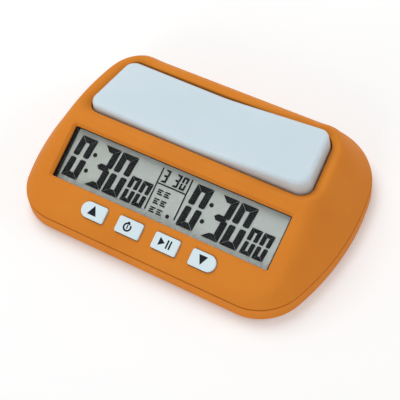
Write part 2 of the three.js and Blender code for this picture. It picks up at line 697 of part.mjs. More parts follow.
// Upright below, then walls with draft and a rounded edge, and two flat halves over the top
// ring that meet along the bend.
function leverBody(inset, drop, bottom) {
  const draft = (x) => (leverTop(x, LEVER_ROUND) - LEVER_DRAFT_FROM) * Math.tan(LEVER_DRAFT);
  const rings = [leverRing(() => inset, () => bottom), leverRing(() => inset, () => LEVER_DRAFT_FROM)];
  const steps = 3;
  for (let i = 0; i <= steps; i += 1) {
    const turn = Math.PI / 2 * i / steps;
    const inwards = LEVER_ROUND * (1 - Math.cos(turn));
    const below = LEVER_ROUND * (1 - Math.sin(turn));
    rings.push(leverRing((x) => inset + draft(x) + inwards, (x) => leverTop(x, drop + below)));
  }
  const geometry = stack(rings);
  const index = [...geometry.index.array];
  const count = rings[0].length;
  const top = (rings.length - 1) * count;
  const half = count / 2;
  const capless = [];
  for (let i = 0; i < index.length; i += 3) {
    const triangle = index.slice(i, i + 3);
    if (!triangle.every((corner) => corner >= top)) capless.push(...triangle);
  }
  for (let i = 1; i < half; i += 1) {
    capless.push(top, top + i, top + i + 1);
    const next = (half + i + 1) % count;
    capless.push(top + half, top + half + i, top + next);
  }
  geometry.setIndex(capless);
  return toSolid(geometry);
}

function leverSolid() {
  const inside = leverBody(LEVER_WALL, LEVER_WALL, LEVER_SKIRT - 1);
  let lever = cut(leverBody(0, 0, LEVER_SKIRT), inside);
  for (const y of LUGS) {
    const hanger = toSolid(box(-4, 4, y, y + LUG_THICK, 0, LEVER_CREST - 1));
    const eye = toSolid(rodY(4, 0, 0, y, y + LUG_THICK));
    const bore = toSolid(rodY(PIN_RADIUS + GAP, 0, 0, y - 1, y + LUG_THICK + 1));
    lever = cut(unite(lever, hanger, eye), bore);
  }
  for (const side of [-1, 1]) {
    const post = toSolid(rod(3, side * PLUNGER_X, 0, -1.5, LEVER_CREST + 1.2, 20));
    lever = unite(lever, post);
  }
  return lever;
}

const leverGroup = new THREE.Group();
leverGroup.position.set(0, fromFront(LEVER_V), PIN_Z);
leverGroup.rotation.y = -LEVER_ROCK;
clock.add(leverGroup);
piece('rocker_lever', leverSolid(), whitePlastic, leverGroup);

const leverY = fromFront(LEVER_V);
const pinShape = rodY(PIN_RADIUS, 0, PIN_Z, leverY - PIN_LENGTH / 2, leverY + PIN_LENGTH / 2, 20);
piece('lever_pin', pinShape, steel);

function leverSwitch(x) {
  const floor = SWITCH_BOARD_Z + BOARD_THICK + GAP;
  const top = WELL_FLOOR_Z - WELL_WALL - GAP;
  const body = toSolid(box(x - 3.5, x + 3.5, leverY - 3.5, leverY + 3.5, floor, top));
  return cut(body, toSolid(rod(PLUNGER_RADIUS + GAP, x, leverY, floor + GAP, 20, 20)));
}

const plungerBottomPressed = SWITCH_BOARD_Z + BOARD_THICK + 3 * GAP;
const plungerLift = 2 * PLUNGER_X * Math.sin(LEVER_ROCK);
for (const [side, x, bottom] of [
  ['left', -PLUNGER_X, plungerBottomPressed],
  ['right', PLUNGER_X, plungerBottomPressed + plungerLift],
]) {
  const plunger = rod(PLUNGER_RADIUS, x, leverY, bottom, bottom + PLUNGER_LENGTH, 20);
  piece(`lever_switch_${side}`, leverSwitch(x), blackPlastic);
  piece(`plunger_${side}`, plunger, whitePlastic);
}

function switchBoard() {
  const board = box(-46, 46, leverY - 8, leverY + 8, SWITCH_BOARD_Z, SWITCH_BOARD_Z + BOARD_THICK);
  const holes = [-1, 1].map((side) => rod(1.4, side * SWITCH_SCREW_X, leverY, 6, 12, 16));
  return cut(toSolid(board), ...holes.map(toSolid));
}

piece('switch_board', switchBoard(), boardLaminate);

for (const side of [-1, 1]) {
  const x = side * SWITCH_SCREW_X;
  const head = toSolid(rod(2.2, x, leverY, SWITCH_BOARD_Z - GAP - 1.2, SWITCH_BOARD_Z - GAP, 20));
  const shank = toSolid(rod(0.9, x, leverY, SWITCH_BOARD_Z - 1, 13.6, 12));
  piece(side < 0 ? 'switch_board_screw_left' : 'switch_board_screw_right', unite(head, shank), steel);
}

// ---------------------------------------------------------------- buzzer and power switch

const trayFloor = FOOT_DROP + FLOOR + GAP;

function buzzer() {
  const { radius, height } = BUZZER;
  const y = fromFront(SOUND_HOLES.v);
  const can = toSolid(rod(radius, SOUND_HOLES.x, y, trayFloor, trayFloor + height, 32));
  const roof = trayFloor + height - 1.2;
  return cut(can, toSolid(rod(radius - 1.2, SOUND_HOLES.x, y, trayFloor - 1, roof, 32)));
}

piece('piezo_buzzer', buzzer(), blackPlastic);

function powerSwitch() {
  const y = fromFront(POWER_SPOT.v);
  const middle = POWER_SPOT.x - POWER_TRAVEL / 2;
  const body = toSolid(box(middle - 6, middle + 6, y - 3.2, y + 3.2, trayFloor, trayFloor + 4.4));
  const reach = 1.5 + POWER_TRAVEL / 2 + GAP;
  const pocket = toSolid(box(middle - reach, middle + reach, y - 1.8, y + 1.8, 0, trayFloor + 3));
  return cut(body, pocket);
}

function powerSlider() {
  const y = fromFront(POWER_SPOT.v);
  const { x } = POWER_SPOT;
  const stem = toSolid(box(x - 1.5, x + 1.5, y - 1.5, y + 1.5, 0.4, trayFloor + 2.7));
  const grooves = [-0.75, 0.75].map((shift) => {
    const x = POWER_SPOT.x + shift;
    return toSolid(box(x - 0.2, x + 0.2, y - 2, y + 2, 0, 0.7));
  });
  return cut(stem, ...grooves);
}

piece('power_switch', powerSwitch(), blackPlastic);
piece('power_slider', powerSlider(), blackPlastic);

// ---------------------------------------------------------------- feet and case screws

function screw(x, v) {
  const head = toSolid(rod(2.9, x, fromFront(v), 2.2, 4.2));
  const shank = toSolid(rod(1.4, x, fromFront(v), 4, 12.2, 16));
  const cross = [box(-1.8, 1.8, -0.35, 0.35, 1, 3), box(-0.35, 0.35, -1.8, 1.8, 1, 3)];
  const recess = cross.map((bar) => toSolid(bar.translate(x, fromFront(v), 0)));
  return cut(unite(head, shank), ...recess);
}

for (const [end, spot] of Object.entries(SCREW_SPOTS)) {
  for (const [side, sign] of [['left', -1], ['right', 1]]) {
    piece(`case_screw_${end}_${side}`, screw(sign * spot[0], spot[1]), steel);
  }
}

for (const [end, [x, v]] of Object.entries(FOOT_SPOTS)) {
  for (const [side, sign] of [['left', -1], ['right', 1]]) {
    const foot = rod(FOOT.radius, sign * x, fromFront(v), 0, FOOT.height, 28);
    piece(`foot_${end}_${side}`, foot, rubber);
  }
}

export default clock;
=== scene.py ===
"""Looks of the digital chess clock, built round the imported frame.

Sizes are millimetres, turned into metres when a mesh is made. x runs to the right, v back from
the front edge of the case, z up. On the sloping front face s runs up the slope and n stands off it.
"""

import json
import math
from collections import namedtuple

import bpy
from mathutils import Matrix, Vector


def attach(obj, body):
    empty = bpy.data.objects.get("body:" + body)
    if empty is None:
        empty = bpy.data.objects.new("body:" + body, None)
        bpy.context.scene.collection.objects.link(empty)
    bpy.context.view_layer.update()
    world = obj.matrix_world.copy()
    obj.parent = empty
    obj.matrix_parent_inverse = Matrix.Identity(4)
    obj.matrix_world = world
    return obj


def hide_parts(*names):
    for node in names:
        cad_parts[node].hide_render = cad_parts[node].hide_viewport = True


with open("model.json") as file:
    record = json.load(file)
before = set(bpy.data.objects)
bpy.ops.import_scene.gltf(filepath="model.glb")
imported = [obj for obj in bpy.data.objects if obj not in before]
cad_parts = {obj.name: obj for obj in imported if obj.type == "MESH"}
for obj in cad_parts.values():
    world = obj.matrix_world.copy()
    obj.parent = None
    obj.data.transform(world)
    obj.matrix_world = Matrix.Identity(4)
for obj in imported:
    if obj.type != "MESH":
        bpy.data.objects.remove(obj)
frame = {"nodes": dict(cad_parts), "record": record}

MM = 0.001
DEG = math.pi / 180
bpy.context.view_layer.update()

# ---------------------------------------------------------------- driving dimensions

GAP = 0.3

# Case outline from above and its section; the same figures as the CAD source.
CASE_DEPTH = 103
FRONT_HALF = 47.8
FRONT_RADIUS = 22.3
FRONT_TURN = 72.2 * DEG
SIDE_RADIUS = 120.7
BACK_RADIUS = 32.2
FLOOR_Z = 1.0
FLOOR_THICK = 1.8
PARTING_Z = 8.0
WALL = 2.0
SKIN = 2.0
LEANS = [(0, 41), (45, 34), (78, 32), (100, 32.6), (155, 32), (180, 35.8)]
PLATEAU_Z = 31.9
FACE_TILT = 24.6 * DEG
FACE_START_Z = 9.93
CREST_FRONT = 1.6
CREST_SIDE = 6.6
CREST_BACK = 8.2

# Well and lever
WELL_FRONT = 49.0
WELL_BACK = 82.6
WELL_FRONT_HALF = 57.0
WELL_BACK_HALF = 52.4
WELL_RADIUS = 6.4
WELL_FLOOR_Z = 16.5
LIP_Z = 27.9                        # height where the lip turns down, before and beside the well
LIP_BACK_RISE = 1.7                 # and how much higher it does so behind it
LIP_FRONT = 5.5                     # width of the rounded lip before, beside and behind the well
LIP_SIDE = 6.2
LIP_BACK = 3.2
LEVER_GAP = 0.45
LEVER_V = (WELL_FRONT + WELL_BACK) / 2
LEVER_BEND = 3.8 * DEG
LEVER_ROCK = 2.4 * DEG
LEVER_CREST = 8.5
LEVER_SKIRT = -2.0
LEVER_ROUND = 2.0
LEVER_DRAFT = 6 * DEG              # the walls lean inwards above this height over the pin
LEVER_DRAFT_FROM = 4.5
LEVER_WALL = 2.2
PIN_Z = 21
PIN_RADIUS = 1.5
PLUNGER_X = 38
PLUNGER_RADIUS = 2

# Display and keys, on the front face
DISPLAY_X = -0.3
DISPLAY_S = 30.2
OPENING = (109.2, 24.8)
BEZEL_OPENING = (107, 24.4)
BEVEL_OUT = 1.2
BEVEL_DEEP = 1.1
LCD_N = -4.3
KEY_S = 10.4
KEY_PITCH = 18.45
KEY_WIDTH = 12.2
KEY_HEIGHT = 7.4
KEY_CORNER = 1.0
KEY_PROUD = 1.0
KEY_GAP = 0.2
KEYS = [("up", -1.5, -1), ("timer", -0.5, 0), ("play_pause", 0.5, 0), ("down", 1.5, 1)]

# Underside
BAY_HALF = 31
BAY_FRONT = 81
FOOT_RADIUS = 5
FOOT_SPOTS = {"front": (56, 12), "back": (50, 92)}
SCREW_SPOTS = {"front": (60, 24), "back": (54.5, 75)}
CELL_V, CELL_Z = 90.2, 10.2
SOUND_X, SOUND_V, SOUND_RING = -30, 62, 5
POWER_X, POWER_V, POWER_HALF, POWER_TRAVEL = 34, 60, 1.5, 3

# ---------------------------------------------------------------- mesh helpers


def fix(x, v, z):
    """A point of the case, in metres."""
    return Vector((x * MM, (v - CASE_DEPTH / 2) * MM, z * MM))


FACE = Matrix.Translation(fix(0, 0, FACE_START_Z)) @ Matrix.Rotation(FACE_TILT, 4, "X")


def on_face(x, s, n):
    """A point given on the front face, in metres."""
    return FACE @ Vector((x * MM, s * MM, n * MM))


def new_piece(name, points, faces, surface, sharp=32):
    """A mesh object with smooth shading, and sharp edges where it turns by more than sharp degrees."""
    mesh = bpy.data.meshes.new(name)
    mesh.from_pydata([tuple(p) for p in points], [], faces)
    mesh.validate()
    piece = bpy.data.objects.new(name, mesh)
    bpy.context.scene.collection.objects.link(piece)
    if surface is not None:
        mesh.materials.append(surface)
    soften(piece, sharp)
    return piece


def soften(piece, sharp=32):
    piece.data.shade_smooth()
    piece.data.set_sharp_from_angle(angle=sharp * DEG)


def stack(rings, caps=(True, True)):
    """Points and faces of a body through rings of equally many points, closed at the ends asked for."""
    count = len(rings[0])
    points = [p for ring in rings for p in ring]
    faces = []
    for r in range(len(rings) - 1):
        for i in range(count):
            j = (i + 1) % count
            faces.append((r * count + i, r * count + j, (r + 1) * count + j, (r + 1) * count + i))
    if caps[0]:
        faces.append(tuple(range(count))[::-1])
    if caps[1]:
        faces.append(tuple(range((len(rings) - 1) * count, len(rings) * count)))
    return points, faces


def merged(*bodies):
    """Several closed bodies as one set of points and faces."""
    points, faces = [], []
    for body_points, body_faces in bodies:
        start = len(points)
        points += body_points
        faces += [tuple(i + start for i in face) for face in body_faces]
    return points, faces


def combine(piece, operation, *bodies):
    """Joins bodies to the piece or cuts them from it. They don't touch one another."""
    tool = new_piece("tool", *merged(*bodies), None)
    change = piece.modifiers.new("combine", "BOOLEAN")
    change.operation = operation
    change.object = tool
    change.solver = "EXACT"
    graph = bpy.context.evaluated_depsgraph_get()
    mesh = bpy.data.meshes.new_from_object(piece.evaluated_get(graph))
    mesh.name = piece.name
    piece.modifiers.clear()
    piece.data = mesh
    bpy.data.objects.remove(tool)
    for face in mesh.polygons:
        face.material_index = 0
    soften(piece)
    return piece


def rounded_rectangle(width, height, radius, grow=0, steps=6, corners=(1, 1, 1, 1)):
    """Points round a rectangle about the origin; corners scale its radii, anticlockwise from top right."""
    points = []
    spots = [(1, 1), (-1, 1), (-1, -1), (1, -1)]
    for quarter, ((sx, sy), share) in enumerate(zip(spots, corners)):
        r = radius * share + grow
        cx = sx * (width / 2 + grow - r)
        cy = sy * (height / 2 + grow - r)
        for i in range(steps + 1):
            turn = (quarter + i / steps) * math.pi / 2
            points.append((cx + r * math.cos(turn), cy + r * math.sin(turn)))
    return points


def arc(cx, cy, radius, first, last, steps):
    """Points along an arc from one angle to another."""
    turns = [first + (last - first) * i / steps for i in range(steps + 1)]
    return [(cx + radius * math.cos(turn), cy + radius * math.sin(turn)) for turn in turns]


def circle(cx, cy, radius, sides):
    return arc(cx, cy, radius, 0, 2 * math.pi, sides)[:-1]


def face_stack(x, s, outline_at, profile):
    """Body on the front face: outline_at(grow) gives its outline, profile lists (grow, n) upwards."""
    return stack([[on_face(x + px, s + py, n) for px, py in outline_at(grow)] for grow, n in profile])


def turned(profile, place, sides=40):
    """Body turned about an axis. profile lists (radius, height); place(x, y, h) puts a point."""
    return stack([[place(px, py, height) for px, py in circle(0, 0, radius, sides)]
                  for radius, height in profile])


def upright(x, v):
    """Placing function for a body that stands on the table's normal."""
    return lambda px, py, h: fix(x + px, v + py, h)


def rod(radius, x, v, z0, z1, sides=32):
    return turned([(radius, z0), (radius, z1)], upright(x, v), sides)


def rod_y(radius, x, z, v0, v1, sides=32):
    return turned([(radius, v0), (radius, v1)], lambda px, py, h: fix(x - px, h, z + py), sides)


def box(x0, x1, v0, v1, z0, z1):
    lower = [fix(x0, v0, z0), fix(x1, v0, z0), fix(x1, v1, z0), fix(x0, v1, z0)]
    upper = [fix(x0, v0, z1), fix(x1, v0, z1), fix(x1, v1, z1), fix(x0, v1, z1)]
    return stack([lower, upper])


def quarter(steps):
    """Angles from 0 to a quarter turn."""
    return [math.pi / 2 * i / steps for i in range(steps + 1)]


def round_edges(piece, width, segments=3):
    """Small rounded edges on a block of straight faces."""
    change = piece.modifiers.new("edges", "BEVEL")
    change.width = width * MM
    change.segments = segments
    change.limit_method = "ANGLE"
    change.angle_limit = 40 * DEG
    change.harden_normals = False
    return piece


def even_normals(piece):
    """Keeps large flat faces flat in shading beside small rounded ones."""
    change = piece.modifiers.new("normals", "WEIGHTED_NORMAL")
    change.keep_sharp = True
    return piece


# ---------------------------------------------------------------- materials


class Nodes:
    """Short way to write a material's node tree."""

    def __init__(self, name):
        self.material = bpy.data.materials.new(name)
        self.material.use_nodes = True
        self.tree = self.material.node_tree
        self.shader = self.tree.nodes["Principled BSDF"]
        self.output = self.tree.nodes["Material Output"]
        self.place = self.add("ShaderNodeTexCoord").outputs["Object"]

    def add(self, kind, **values):
        node = self.tree.nodes.new(kind)
        for key, value in values.items():
            setattr(node, key, value)
        return node

    def link(self, source, target):
        self.tree.links.new(source, target)

    def noise(self, scale, detail=3, roughness=0.5, stretch=None):
        """Noise over the object's own coordinates; scale counts features per metre."""
        node = self.add("ShaderNodeTexNoise")
        node.inputs["Scale"].default_value = scale
        node.inputs["Detail"].default_value = detail
        node.inputs["Roughness"].default_value = roughness
        where = self.place
        if stretch:
            mapping = self.add("ShaderNodeMapping")
            mapping.inputs["Scale"].default_value = stretch
            self.link(where, mapping.inputs["Vector"])
            where = mapping.outputs["Vector"]
        self.link(where, node.inputs["Vector"])
        return node.outputs["Fac"]

    def ramp(self, source, stops):
        node = self.add("ShaderNodeValToRGB")
        while len(node.color_ramp.elements) < len(stops):
            node.color_ramp.elements.new(0.5)
        for element, (position, colour) in zip(node.color_ramp.elements, stops):
            element.position = position
            element.color = (*colour, 1)
        self.link(source, node.inputs["Fac"])
        return node.outputs["Color"]

    def spread(self, source, low, high):
        node = self.add("ShaderNodeMapRange")
        node.inputs["To Min"].default_value = low
        node.inputs["To Max"].default_value = high
        self.link(source, node.inputs["Value"])
        return node.outputs["Result"]

    def colour(self, source, stops):
        self.link(self.ramp(source, stops), self.shader.inputs["Base Color"])

    def roughness(self, source, low, high):
        self.link(self.spread(source, low, high), self.shader.inputs["Roughness"])

    def along_x(self, half):
        """From 0 to 1 across x, between half a width to the left and to the right."""
        split = self.add("ShaderNodeSeparateXYZ")
        self.link(self.place, split.inputs["Vector"])
        across = self.add("ShaderNodeMapRange")
        across.inputs["From Min"].default_value = -half * MM
        across.inputs["From Max"].default_value = half * MM
        self.link(split.outputs["X"], across.inputs["Value"])
        return across.outputs["Result"]

    def bump(self, layers):
        """Bump from (height, distance in millimetres, strength) layers."""
        normal = None
        for height, distance, strength in layers:
            node = self.add("ShaderNodeBump")
            node.inputs["Distance"].default_value = distance * MM
            node.inputs["Strength"].default_value = strength
            self.link(height, node.inputs["Height"])
            if normal is not None:
                self.link(normal, node.inputs["Normal"])
            normal = node.outputs["Normal"]
        self.link(normal, self.shader.inputs["Normal"])

    def set(self, **values):
        for key, value in values.items():
            self.shader.inputs[key.replace("_", " ")].default_value = value


def linear(*colour):
    """Scene-linear colour from display values of 0 to 255."""
    return tuple(c / 255 / 12.92 if c < 10.3 else ((c / 255 + 0.055) / 1.055) ** 2.4 for c in colour)


def moulded_plastic(name, darker, lighter, roughness, grain_mm, specular=0.25, sheen=0.0, glow=0.0):
    """Injection-moulded plastic: faint flow mottling, fine spark-eroded grain, uneven gloss.

    glow is the share of light that spreads under the surface, as in white plastic.
    """
    m = Nodes(name)
    flow = m.noise(38, 4, 0.55)
    m.colour(flow, [(0.3, darker), (0.7, lighter)])
    m.roughness(m.noise(160, 3), *roughness)
    grain = m.noise(1000 / grain_mm, 2, 0.6)
    slow = m.noise(55, 2)
    m.bump([(slow, 0.05, 0.25), (grain, 0.02, 0.35)])
    m.set(Specular_IOR_Level=specular, Sheen_Weight=sheen, Sheen_Roughness=0.5)
    if glow:
        m.set(Subsurface_Weight=glow, Subsurface_Radius=(1, 0.95, 0.9), Subsurface_Scale=3 * MM)
    return m.material


def orange_plastic():
    return moulded_plastic("orange plastic", linear(208, 125, 44), linear(215, 132, 48), (0.5, 0.6),
                           grain_mm=0.32, specular=0.04)


def white_plastic():
    return moulded_plastic("white plastic", linear(197, 213, 221), linear(202, 217, 225), (0.36, 0.46),
                           grain_mm=0.4, sheen=0.1, glow=0.5)


def key_plastic():
    return moulded_plastic("key plastic", linear(209, 226, 233), linear(214, 231, 237), (0.34, 0.44),
                           grain_mm=0.4, sheen=0.1)


def black_plastic():
    return moulded_plastic("black plastic", linear(22, 23, 25), linear(30, 31, 34), (0.42, 0.6),
                           grain_mm=0.25)


def rubber():
    m = Nodes("rubber")
    m.colour(m.noise(220, 4), [(0.3, linear(34, 34, 36)), (0.75, linear(48, 47, 48))])
    m.roughness(m.noise(500, 3), 0.75, 0.92)
    m.bump([(m.noise(2600, 3, 0.6), 0.03, 0.5)])
    m.set(Specular_IOR_Level=0.3)
    return m.material


def clear_window():
    """Clear acrylic; light from the lamps passes through it to the display."""
    m = Nodes("clear acrylic")
    m.set(Base_Color=(0.97, 0.985, 0.98, 1), Transmission_Weight=1.0, IOR=1.2)
    m.roughness(m.noise(90, 3), 0.0, 0.012)
    m.bump([(m.noise(300, 2), 0.002, 0.1)])
    path = m.add("ShaderNodeLightPath")
    through = m.add("ShaderNodeBsdfTransparent")
    mix = m.add("ShaderNodeMixShader")
    m.link(path.outputs["Is Shadow Ray"], mix.inputs["Fac"])
    m.link(m.shader.outputs["BSDF"], mix.inputs[1])
    m.link(through.outputs["BSDF"], mix.inputs[2])
    m.link(mix.outputs["Shader"], m.output.inputs["Surface"])
    return m.material


def display_glass():
    """Grey-green reflective display: rubbed polariser film, made a little brighter to the right by painted
    light.
    """
    m = Nodes("display film")
    # painted light: the film's colour rises from left to right to stand in for how light falls across it
    base = m.ramp(m.along_x(55), [(0, linear(151, 155, 150)), (1, linear(158, 163, 161))])
    film = m.ramp(m.noise(300, 4, 0.6, (1, 6, 6)), [(0.3, (0.97, 0.97, 0.97)), (0.7, (1, 1, 1))])
    mix = m.add("ShaderNodeMix", data_type="RGBA", blend_type="MULTIPLY")
    mix.inputs["Factor"].default_value = 1
    m.link(base, mix.inputs["A"])
    m.link(film, mix.inputs["B"])
    m.link(mix.outputs["Result"], m.shader.inputs["Base Color"])
    m.roughness(m.noise(900, 2), 0.28, 0.4)
    m.bump([(m.noise(5000, 2), 0.006, 0.2)])
    m.set(Specular_IOR_Level=0.25)
    return m.material


def display_ink():
    m = Nodes("display segments")
    m.colour(m.noise(600, 3), [(0.3, linear(7, 10, 13)), (0.7, linear(9, 12, 16))])
    m.roughness(m.noise(900, 2), 0.35, 0.5)
    m.bump([(m.noise(900, 2), 0.003, 0.1)])
    m.set(Specular_IOR_Level=0.15)
    return m.material


def printed_ink():
    m = Nodes("key print")
    m.colour(m.noise(1500, 3), [(0.25, linear(15, 17, 23)), (0.75, linear(24, 27, 35))])
    m.roughness(m.noise(1200, 2), 0.45, 0.6)
    m.bump([(m.noise(3500, 2), 0.01, 0.3)])
    m.set(Specular_IOR_Level=0.2)
    return m.material


def metal(name, colour, roughness, stretch):
    """Drawn or stamped metal with fine lines along one direction."""
    m = Nodes(name)
    m.colour(m.noise(400, 4), [(0.3, [c * 0.9 for c in colour]), (0.7, colour)])
    lines = m.noise(1500, 3, 0.6, stretch)
    m.roughness(lines, *roughness)
    m.bump([(lines, 0.01, 0.3)])
    m.set(Metallic=1.0)
    return m.material


def steel():
    return metal("zinc-plated steel", linear(190, 192, 196), (0.22, 0.42), (1, 1, 0.15))


def brass():
    return metal("brass", linear(205, 172, 96), (0.25, 0.45), (0.15, 1, 1))


def spring_steel():
    return metal("spring wire", linear(200, 203, 206), (0.16, 0.32), (0.3, 1, 1))


def board_laminate():
    """Green solder mask over copper tracks, seen as a faint pattern of lines."""
    m = Nodes("board laminate")
    tracks = m.add("ShaderNodeTexBrick")
    tracks.inputs["Scale"].default_value = 260
    tracks.inputs["Mortar Size"].default_value = 0.06
    for socket, colour in (("Color1", (30, 92, 52)), ("Color2", (26, 82, 46)), ("Mortar", (56, 122, 70))):
        tracks.inputs[socket].default_value = (*linear(*colour), 1)
    m.link(m.place, tracks.inputs["Vector"])
    m.link(tracks.outputs["Color"], m.shader.inputs["Base Color"])
    m.roughness(m.noise(700, 3), 0.3, 0.5)
    m.bump([(tracks.outputs["Fac"], 0.03, 0.4), (m.noise(3000, 2), 0.01, 0.2)])
    return m.material


def epoxy():
    m = Nodes("epoxy blob")
    m.colour(m.noise(500, 3), [(0.3, linear(14, 14, 16)), (0.7, linear(24, 24, 26))])
    m.roughness(m.noise(250, 3), 0.2, 0.45)
    m.bump([(m.noise(420, 3), 0.15, 0.4)])
    return m.material


def cell_wrap():
    """Plain shrink sleeve on the cell: blue-grey with a copper-coloured end band."""
    m = Nodes("cell sleeve")
    sleeve = linear(93, 127, 150)
    band = linear(196, 134, 82)
    m.colour(m.along_x(25), [(0, sleeve), (0.72, sleeve), (0.735, band), (1, band)])
    m.roughness(m.noise(400, 3), 0.22, 0.38)
    m.bump([(m.noise(180, 3), 0.06, 0.3)])
    m.set(Metallic=0.35)
    return m.material


def floor_paper():
    """White paper that gives off a little light of its own, so that it stays pale at the edges."""
    m = Nodes("studio floor")
    m.colour(m.noise(6, 3), [(0.3, (0.78, 0.78, 0.78)), (0.7, (0.79, 0.79, 0.79))])
    m.set(Roughness=0.9, Specular_IOR_Level=0.1, Emission_Color=(1, 1, 1, 1), Emission_Strength=0.2)
    return m.material


SURFACES = {
    "orange_case": orange_plastic(),
    "white_lever": white_plastic(),
    "white_keys": key_plastic(),
    "black_plastic": black_plastic(),
    "clear_window": clear_window(),
    "display_glass": display_glass(),
    "rubber": rubber(),
    "board_laminate": board_laminate(),
    "epoxy": epoxy(),
    "steel": steel(),
    "brass": brass(),
    "spring_steel": spring_steel(),
    "cell_wrap": cell_wrap(),
}
DISPLAY_INK = display_ink()
PRINTED_INK = printed_ink()


def settle(piece, body, slot, *nodes):
    """Rides the piece on its body and hides the CAD nodes it stands for. Its finish, slot, is not used."""
    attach(piece, body)
    if nodes:
        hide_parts(*nodes)
    return piece


def finished(name, shape, body, slot, *nodes):
    """A new piece in its slot's material, settled at once."""
    return settle(new_piece(name, *shape, SURFACES[slot]), body, slot, *nodes)


# ---------------------------------------------------------------- outlines

# A place on an outline: centre of its arc, radius, and heading (0 along the front, 180 at the back).
Place = namedtuple("Place", "x v radius turn")

SIDE_X = FRONT_HALF + (FRONT_RADIUS - SIDE_RADIUS) * math.sin(FRONT_TURN)
SIDE_V = FRONT_RADIUS + (SIDE_RADIUS - FRONT_RADIUS) * math.cos(FRONT_TURN)
BACK_TURN = math.acos(-(CASE_DEPTH - BACK_RADIUS - SIDE_V) / (SIDE_RADIUS - BACK_RADIUS))
BACK_X = SIDE_X + (SIDE_RADIUS - BACK_RADIUS) * math.sin(BACK_TURN)
BACK_V = CASE_DEPTH - BACK_RADIUS
WELL_TAPER = math.atan2(WELL_FRONT_HALF - WELL_BACK_HALF, WELL_BACK - WELL_FRONT)


def well_centre_x(v):
    side = WELL_FRONT_HALF - (v - WELL_FRONT) * math.tan(WELL_TAPER)
    return side - WELL_RADIUS / math.cos(WELL_TAPER)


def reach_at(place, inwards):
    """x and v of a point that lies inwards of the outline at a place."""
    r = place.radius - inwards
    return place.x + r * math.sin(place.turn), place.v - r * math.cos(place.turn)


def runs(*legs):
    """Places along legs of (from, to), each leg starting where the last one ended."""
    places = [legs[0][0]]
    for (start, end), steps in zip(legs, LEG_STEPS):
        for i in range(1, steps + 1):
            share = i / steps
            places.append(Place(*(a + (b - a) * share for a, b in zip(start, end))))
    return places


LEG_STEPS = (36, 30, 34, 12, 34, 26)
CORNER = (FRONT_HALF, FRONT_RADIUS, FRONT_RADIUS)       # centre and radius of each arc of the case
SIDE = (SIDE_X, SIDE_V, SIDE_RADIUS)
REAR = (BACK_X, BACK_V, BACK_RADIUS)


def case_places():
    """Right half of the case outline, from front centre to back centre."""
    middle = 92 * DEG
    return runs(
        (Place(0, FRONT_RADIUS, FRONT_RADIUS, 0), Place(*CORNER, 0)),
        (Place(*CORNER, 0), Place(*CORNER, FRONT_TURN)),
        (Place(*SIDE, FRONT_TURN), Place(*SIDE, middle)),
        (Place(*SIDE, middle), Place(*SIDE, BACK_TURN)),
        (Place(*REAR, BACK_TURN), Place(*REAR, math.pi)),
        (Place(*REAR, math.pi), Place(0, BACK_V, BACK_RADIUS, math.pi)),
    )


def well_places():
    """Right half of the well outline, with as many places on each leg as the case outline."""
    front_v = WELL_FRONT + WELL_RADIUS
    back_v = WELL_BACK - WELL_RADIUS
    front = (well_centre_x(front_v), front_v, WELL_RADIUS)
    back = (well_centre_x(back_v), back_v, WELL_RADIUS)
    side = math.pi / 2 + WELL_TAPER
    share = 60 * DEG
    return runs(
        (Place(0, front_v, WELL_RADIUS, 0), Place(*front, 0)),
        (Place(*front, 0), Place(*front, share)),
        (Place(*front, share), Place(*front, side)),
        (Place(*front, side), Place(*back, side)),
        (Place(*back, side), Place(*back, math.pi)),
        (Place(*back, math.pi), Place(0, back_v, WELL_RADIUS, math.pi)),
    )


def whole(half):
    """A ring of places from its right half: anticlockwise from the front centre."""
    left = [Place(-p.x, p.v, p.radius, -p.turn) for p in reversed(half[1:-1])]
    return half + left


CASE_RING = whole(case_places())
WELL_RING = whole(well_places())

# ---------------------------------------------------------------- top surface of the case


def inset_and_turn(x, v):
    """How far a point lies inside the case outline, and the heading of the outline there."""
    x = abs(x)
    found = [(v, 0.0), (CASE_DEPTH - v, math.pi)]
    arcs = [(*CORNER, 0, FRONT_TURN), (*SIDE, FRONT_TURN, BACK_TURN), (*REAR, BACK_TURN, math.pi)]
    for cx, cv, radius, first, last in arcs:
        turn = math.atan2(x - cx, cv - v)
        if first <= turn <= last:
            found.append((radius - math.hypot(x - cx, v - cv), turn))
    return min(found)


def lean_at(turn):
    """Lean of the wall at a heading, as a smooth curve through LEANS."""
    heading = turn / DEG
    last = len(LEANS) - 1
    k = max(i for i in range(last) if LEANS[i][0] <= heading + 1e-9)
    (h0, l0), (h1, l1) = LEANS[k], LEANS[k + 1]

    def slope(i):
        a, b = LEANS[max(i - 1, 0)], LEANS[min(i + 1, last)]
        return 0 if i in (0, last) else (b[1] - a[1]) / (b[0] - a[0])

    t = (heading - h0) / (h1 - h0)
    span = h1 - h0
    value = ((2 * t**3 - 3 * t**2 + 1) * l0 + (t**3 - 2 * t**2 + t) * span * slope(k)
             + (3 * t**2 - 2 * t**3) * l1 + (t**3 - t**2) * span * slope(k + 1))
    return value * DEG


def smooth_min(a, b, softness):
    overlap = max(softness - abs(a - b), 0) / softness
    return min(a, b) - overlap * overlap * softness / 4


def crest_softness(turn):
    end = CREST_FRONT if turn < math.pi / 2 else CREST_BACK
    return end + (CREST_SIDE - end) * math.sin(turn) ** 2


def top_height(x, v):
    """Height of the case over a point, without the well."""
    reach, turn = inset_and_turn(x, v)
    face = FACE_START_Z + v * math.tan(FACE_TILT)
    top = smooth_min(face, PLATEAU_Z, 3)
    wall = PARTING_Z + reach / math.tan(lean_at(turn))
    return smooth_min(top, wall, crest_softness(turn))


def lip_width(turn):
    """Width of the rounded lip of the well at a heading."""
    end = LIP_FRONT if abs(turn) < math.pi / 2 else LIP_BACK
    return end + (LIP_SIDE - end) * math.sin(turn) ** 2


def lip_z(turn):
    """Height where the lip turns down into the well, at a heading."""
    return LIP_Z + LIP_BACK_RISE * max(0, -math.cos(turn))


